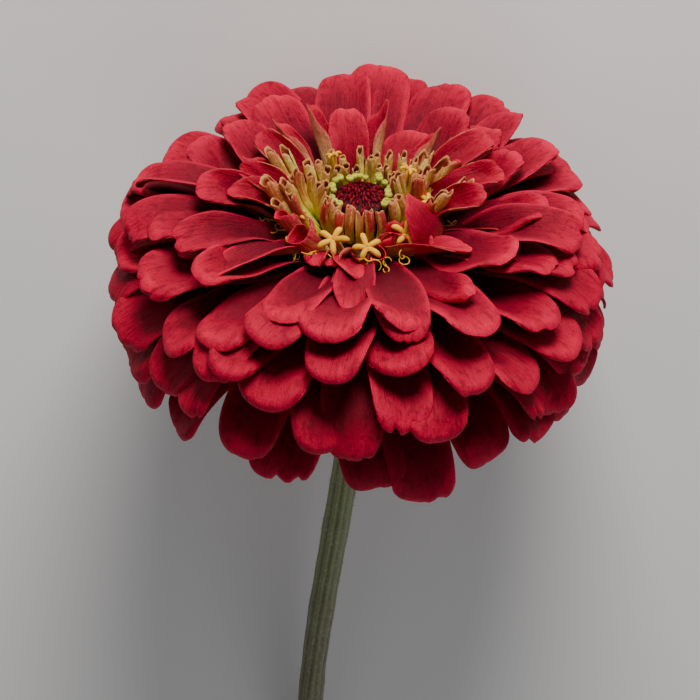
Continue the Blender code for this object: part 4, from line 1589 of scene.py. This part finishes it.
@dataclass
class Stem:
    """The ribbed, downy cut stem, which bends gently to one side.

    Attributes:
        top: Height of its upper end along the head axis.
        top_radius: Radius under the head.
        end_radius: Radius at the cut.
        trim: What is taken off, so that its lowest rib doesn't sink into the table.
        flare: What it widens by where it meets the head.
        swing: How far its end stands aside, in millimetres to the right.
        back_swing: How far the last fifth turns back.
        rings: Points along it.
        sides: Points around it.
        ribs: Ridges around it.
        rib_height: Height of a ridge.
        cut_shares: Radii of the rings of the cut face, as shares.
        cut_depths: How far each stands out of the cut.
        hairs: Short hairs that stand on it, less those that would prick the table.
        hair_clearance: Lowest height in millimetres of a hair's tip.
    """

    top: float = -28.0
    top_radius: float = 3.0
    end_radius: float = 2.6
    trim: float = 0.125
    flare: float = 1.9
    swing: float = -11.2
    back_swing: float = 1.0
    rings: int = 240
    sides: int = 88
    ribs: int = 11
    rib_height: float = 0.13
    cut_shares: tuple = (0.93, 0.80, 0.60, 0.40, 0.22, 0.08)
    cut_depths: tuple = (0.04, 0.02, -0.05, -0.08, -0.22, -0.30)
    hairs: int = 620
    hair_clearance: float = 0.15

    def length(self, head: Head) -> float:
        """Return how far below the disc centre the cut end touches the table."""
        stand = head.centre[2] / MM
        return (stand - self.end_radius * math.cos(head.tilt)) / math.sin(head.tilt)

    def centre_line(self, share: Array, head: Head) -> Array:
        """Return points of the mid-line: a smooth swing to the left that turns back a little."""
        aside = (self.swing * smooth_step(share / 0.82)
                 + self.back_swing * np.clip((share - 0.8) / 0.2, 0, 1) ** 2)
        height = self.top + (-self.length(head) - self.top) * share
        return np.stack([aside, 0 * share, height], axis=-1)

    def radius(self, share: Array, angle: Array) -> Array:
        """Return the radius: a taper, a flare under the head and ribs around."""
        plain = self.top_radius + (self.end_radius - self.top_radius) * share
        flare = self.flare * np.exp(-share / 0.016)
        swell = 0.05 * np.sin(share * 37.0) + 0.04 * np.sin(share * 83.0 + 1.0)
        return plain + flare + swell + self.rib_height * self.ridge(share, angle) - self.trim

    def ridge(self, share: Array, angle: Array) -> Array:
        """Return 1 on a rib and -1 in a groove; the ribs wander round a little."""
        return np.cos(self.ribs * angle + 3.0 * np.sin(share * 4.0))

    def build(self, head: Head, finish: bpy.types.Material) -> int:
        """Build the stem with its cut face and hairs, and return the number of hairs."""
        rows = self.rings
        share = np.linspace(0, 1, rows)
        angle = np.linspace(0, 2 * math.pi, self.sides, endpoint=False)
        line = self.centre_line(share, head)
        tangent = unit(np.gradient(line, axis=0))
        right = unit(np.cross(tangent, (0.0, 1.0, 0.0)))
        front = np.cross(tangent, right)
        spokes = (right[:, None] * np.cos(angle)[None, :, None]
                  + front[:, None] * np.sin(angle)[None, :, None])
        radius = self.radius(share[:, None], angle[None, :])
        outer = line[:, None] + spokes * radius[..., None]
        cut_share, sink = np.array(self.cut_shares), np.array(self.cut_depths)
        cut = (line[-1] + spokes[-1][None] * (radius[-1][None, :, None] * cut_share[:, None, None])
               + tangent[-1] * sink[:, None, None])
        points, faces = close_rings(np.concatenate([outer, cut]),
                                    np.array([line[0], line[-1] + tangent[-1] * sink[-1]]))
        rank = np.ones((rows + len(cut_share), self.sides, 3))
        rank[:rows, :, 0] = share[:, None]
        rank[rows:, :, 1] = cut_share[:, None]
        rank[:rows, :, 2] = 0.5 + 0.5 * self.ridge(share[:, None], angle[None, :])
        rank = np.concatenate([rank.reshape(-1, 3), [[0, 1, 1], [1, 0, 1]]])
        skin = Skin()
        skin.add(points, faces, np.zeros_like(points), rank)
        self.add_hairs(skin, head, line, right, front)
        skin.build("cut_stem", head, finish, Slot.STEM, "stem")
        return self.hairs

    def add_hairs(self, skin: Skin, head: Head, line: Array, right: Array,
                  front: Array) -> None:
        """Stand short three-sided hairs on the stem, leaning towards the head."""
        rng = np.random.default_rng(8)
        for _ in range(self.hairs):
            place = rng.uniform(0.01, 0.99)
            index = int(place * (len(line) - 1))
            turn = rng.uniform(0, 2 * math.pi)
            out = right[index] * math.cos(turn) + front[index] * math.sin(turn)
            foot = line[index] + out * (float(self.radius(place, turn)) - 0.08)
            tip = foot + out * rng.uniform(0.35, 0.75) + UP * rng.uniform(0.0, 0.5)
            if head.height(tip[None])[0] >= self.hair_clearance:
                path = np.array([foot, (foot + tip) / 2 + out * 0.06, tip])
                add_tube(skin, path, np.array([0.055, 0.04, 0.01]), 3, 1.0, place, place)


# --------------------------------------------------------------------------- the studio

@dataclass(frozen=True)
class Lamp:
    """A round soft light: where it hangs from the head, its size in metres, watts and colour."""

    name: str
    towards: tuple[float, float, float]
    distance: float
    size: float
    power: float
    colour: Colour

    def hang(self, centre: Vector) -> None:
        """Hang the light, facing a point."""
        light = bpy.data.lights.new(self.name, "AREA")
        light.shape = "DISK"
        light.size = self.size
        light.energy = self.power
        light.color = self.colour
        item = bpy.data.objects.new(self.name, light)
        towards = Vector(self.towards)
        item.location = centre + towards.normalized() * self.distance
        item.rotation_euler = (-towards).to_track_quat("-Z", "Y").to_euler()
        item.visible_camera = False
        bpy.context.scene.collection.objects.link(item)


@dataclass(frozen=True)
class Studio:
    """Pale floor, soft lights and the camera that looks down on the laid flower.

    Attributes:
        view_tilt: How far the view leans back from straight down, in radians.
        distance: From the camera to the point it looks at, in metres.
        field_width: Width that the picture covers there, in metres.
        aim_right: Millimetres from the disc centre to that point, to the right.
        aim_up: Millimetres up in the picture.
        sensor: Width of the camera's sensor in millimetres.
        floor_half: Half the floor's side in metres.
        floor_colour: The floor's colour.
        room_colour: Colour of the light from all round.
        room_strength: Its strength.
        lamps: The lights.
    """

    view_tilt: float = math.radians(22.0)
    distance: float = 0.9
    field_width: float = 0.1386
    aim_right: float = -2.2
    aim_up: float = -30.3
    sensor: float = 36.0
    floor_half: float = 3.0
    floor_colour: Colour = (0.92, 0.90, 0.87)
    room_colour: Colour = (0.85, 0.88, 0.95)
    room_strength: float = 0.12
    lamps: tuple = (
        Lamp("key_light", (0.10, 0.92, 0.38), 0.65, 0.32, 6.4, (1.0, 0.97, 0.94)),
        Lamp("fill_light", (-0.3, 0.1, 1.0), 1.2, 0.9, 0.55, (0.94, 0.96, 1.0)),
        Lamp("side_light", (0.3, -0.85, 0.40), 0.9, 0.6, 1.7, (0.94, 0.96, 1.0)))

    def add_floor(self) -> None:
        """Lay the floor."""
        mesh = bpy.data.meshes.new("studio_floor")
        half = self.floor_half
        corners = [(-half, -half, 0), (half, -half, 0), (half, half, 0), (-half, half, 0)]
        mesh.from_pydata(corners, [], [(0, 1, 2, 3)])
        floor = bpy.data.objects.new("studio_floor", mesh)
        nodes = Nodes("floor_paper")
        nodes.feed(nodes.shader, {"Base Color": self.floor_colour, "Roughness": 0.9})
        mesh.materials.append(nodes.material)
        bpy.context.scene.collection.objects.link(floor)

    def add_world(self) -> None:
        """Give the room a dim pale grey."""
        world = bpy.data.worlds.new("studio_room")
        world.use_nodes = True
        background = world.node_tree.nodes["Background"]
        background.inputs["Color"].default_value = (*self.room_colour, 1.0)
        background.inputs["Strength"].default_value = self.room_strength
        bpy.context.scene.world = world

    def add_camera(self, head: Head) -> None:
        """Stand the camera over the flower, the head axis pointing up in the picture."""
        sine, cosine = math.sin(self.view_tilt), math.cos(self.view_tilt)
        towards, up = Vector((0, sine, cosine)), Vector((0, cosine, -sine))
        aim = (Vector(head.centre) + Vector((1, 0, 0)) * self.aim_right * MM
               + up * self.aim_up * MM)
        data = bpy.data.cameras.new("studio_camera")
        data.sensor_width = self.sensor
        data.lens = self.sensor * self.distance / self.field_width
        camera = bpy.data.objects.new("studio_camera", data)
        camera.location = aim + towards * self.distance
        camera.rotation_euler = (-self.view_tilt, 0.0, 0.0)
        bpy.context.scene.collection.objects.link(camera)
        bpy.context.scene.camera = camera

    def build(self, head: Head) -> None:
        """Set up floor, lights, room and camera."""
        self.add_floor()
        self.add_world()
        for lamp in self.lamps:
            lamp.hang(Vector(head.centre))
        self.add_camera(head)


def main() -> None:
    """Build the flower piece by piece and set up the studio."""
    logging.basicConfig(level=logging.INFO, format="%(message)s")
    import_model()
    head = Head()
    blades = BladeMaker(head, Profile())
    LOG.info("stem hairs: %d", Stem().build(head, StemFinish().make()))
    cup = GreenCup()
    cup.build_receptacle(head, HEART.make())
    LOG.info("bracts: %d", cup.build_bracts(head, GREEN.make()))
    LOG.info("chaff scales: %d", ChaffDisc().build(head, CHAFF.make()))
    LOG.info("disc buds: %d", DiscBuds().build(head, BUD.make()))
    gold = STAR.make()
    LOG.info("star florets: %d", StarFlorets().build(head, gold))
    LOG.info("styles: %d", CurledStyles().build(head, gold))
    roller = RolledFlorets()
    LOG.info("rolled florets: %d", roller.build(head, ROLLED.make()))
    LOG.info("young rays: %d", YoungRays(blades, roller).build(head, YOUNG.make()))
    LOG.info("rays: %d", RayWhorls(blades).build(head, RAY.make()))
    Studio().build(head)


if __name__ == "__main__":
    main()
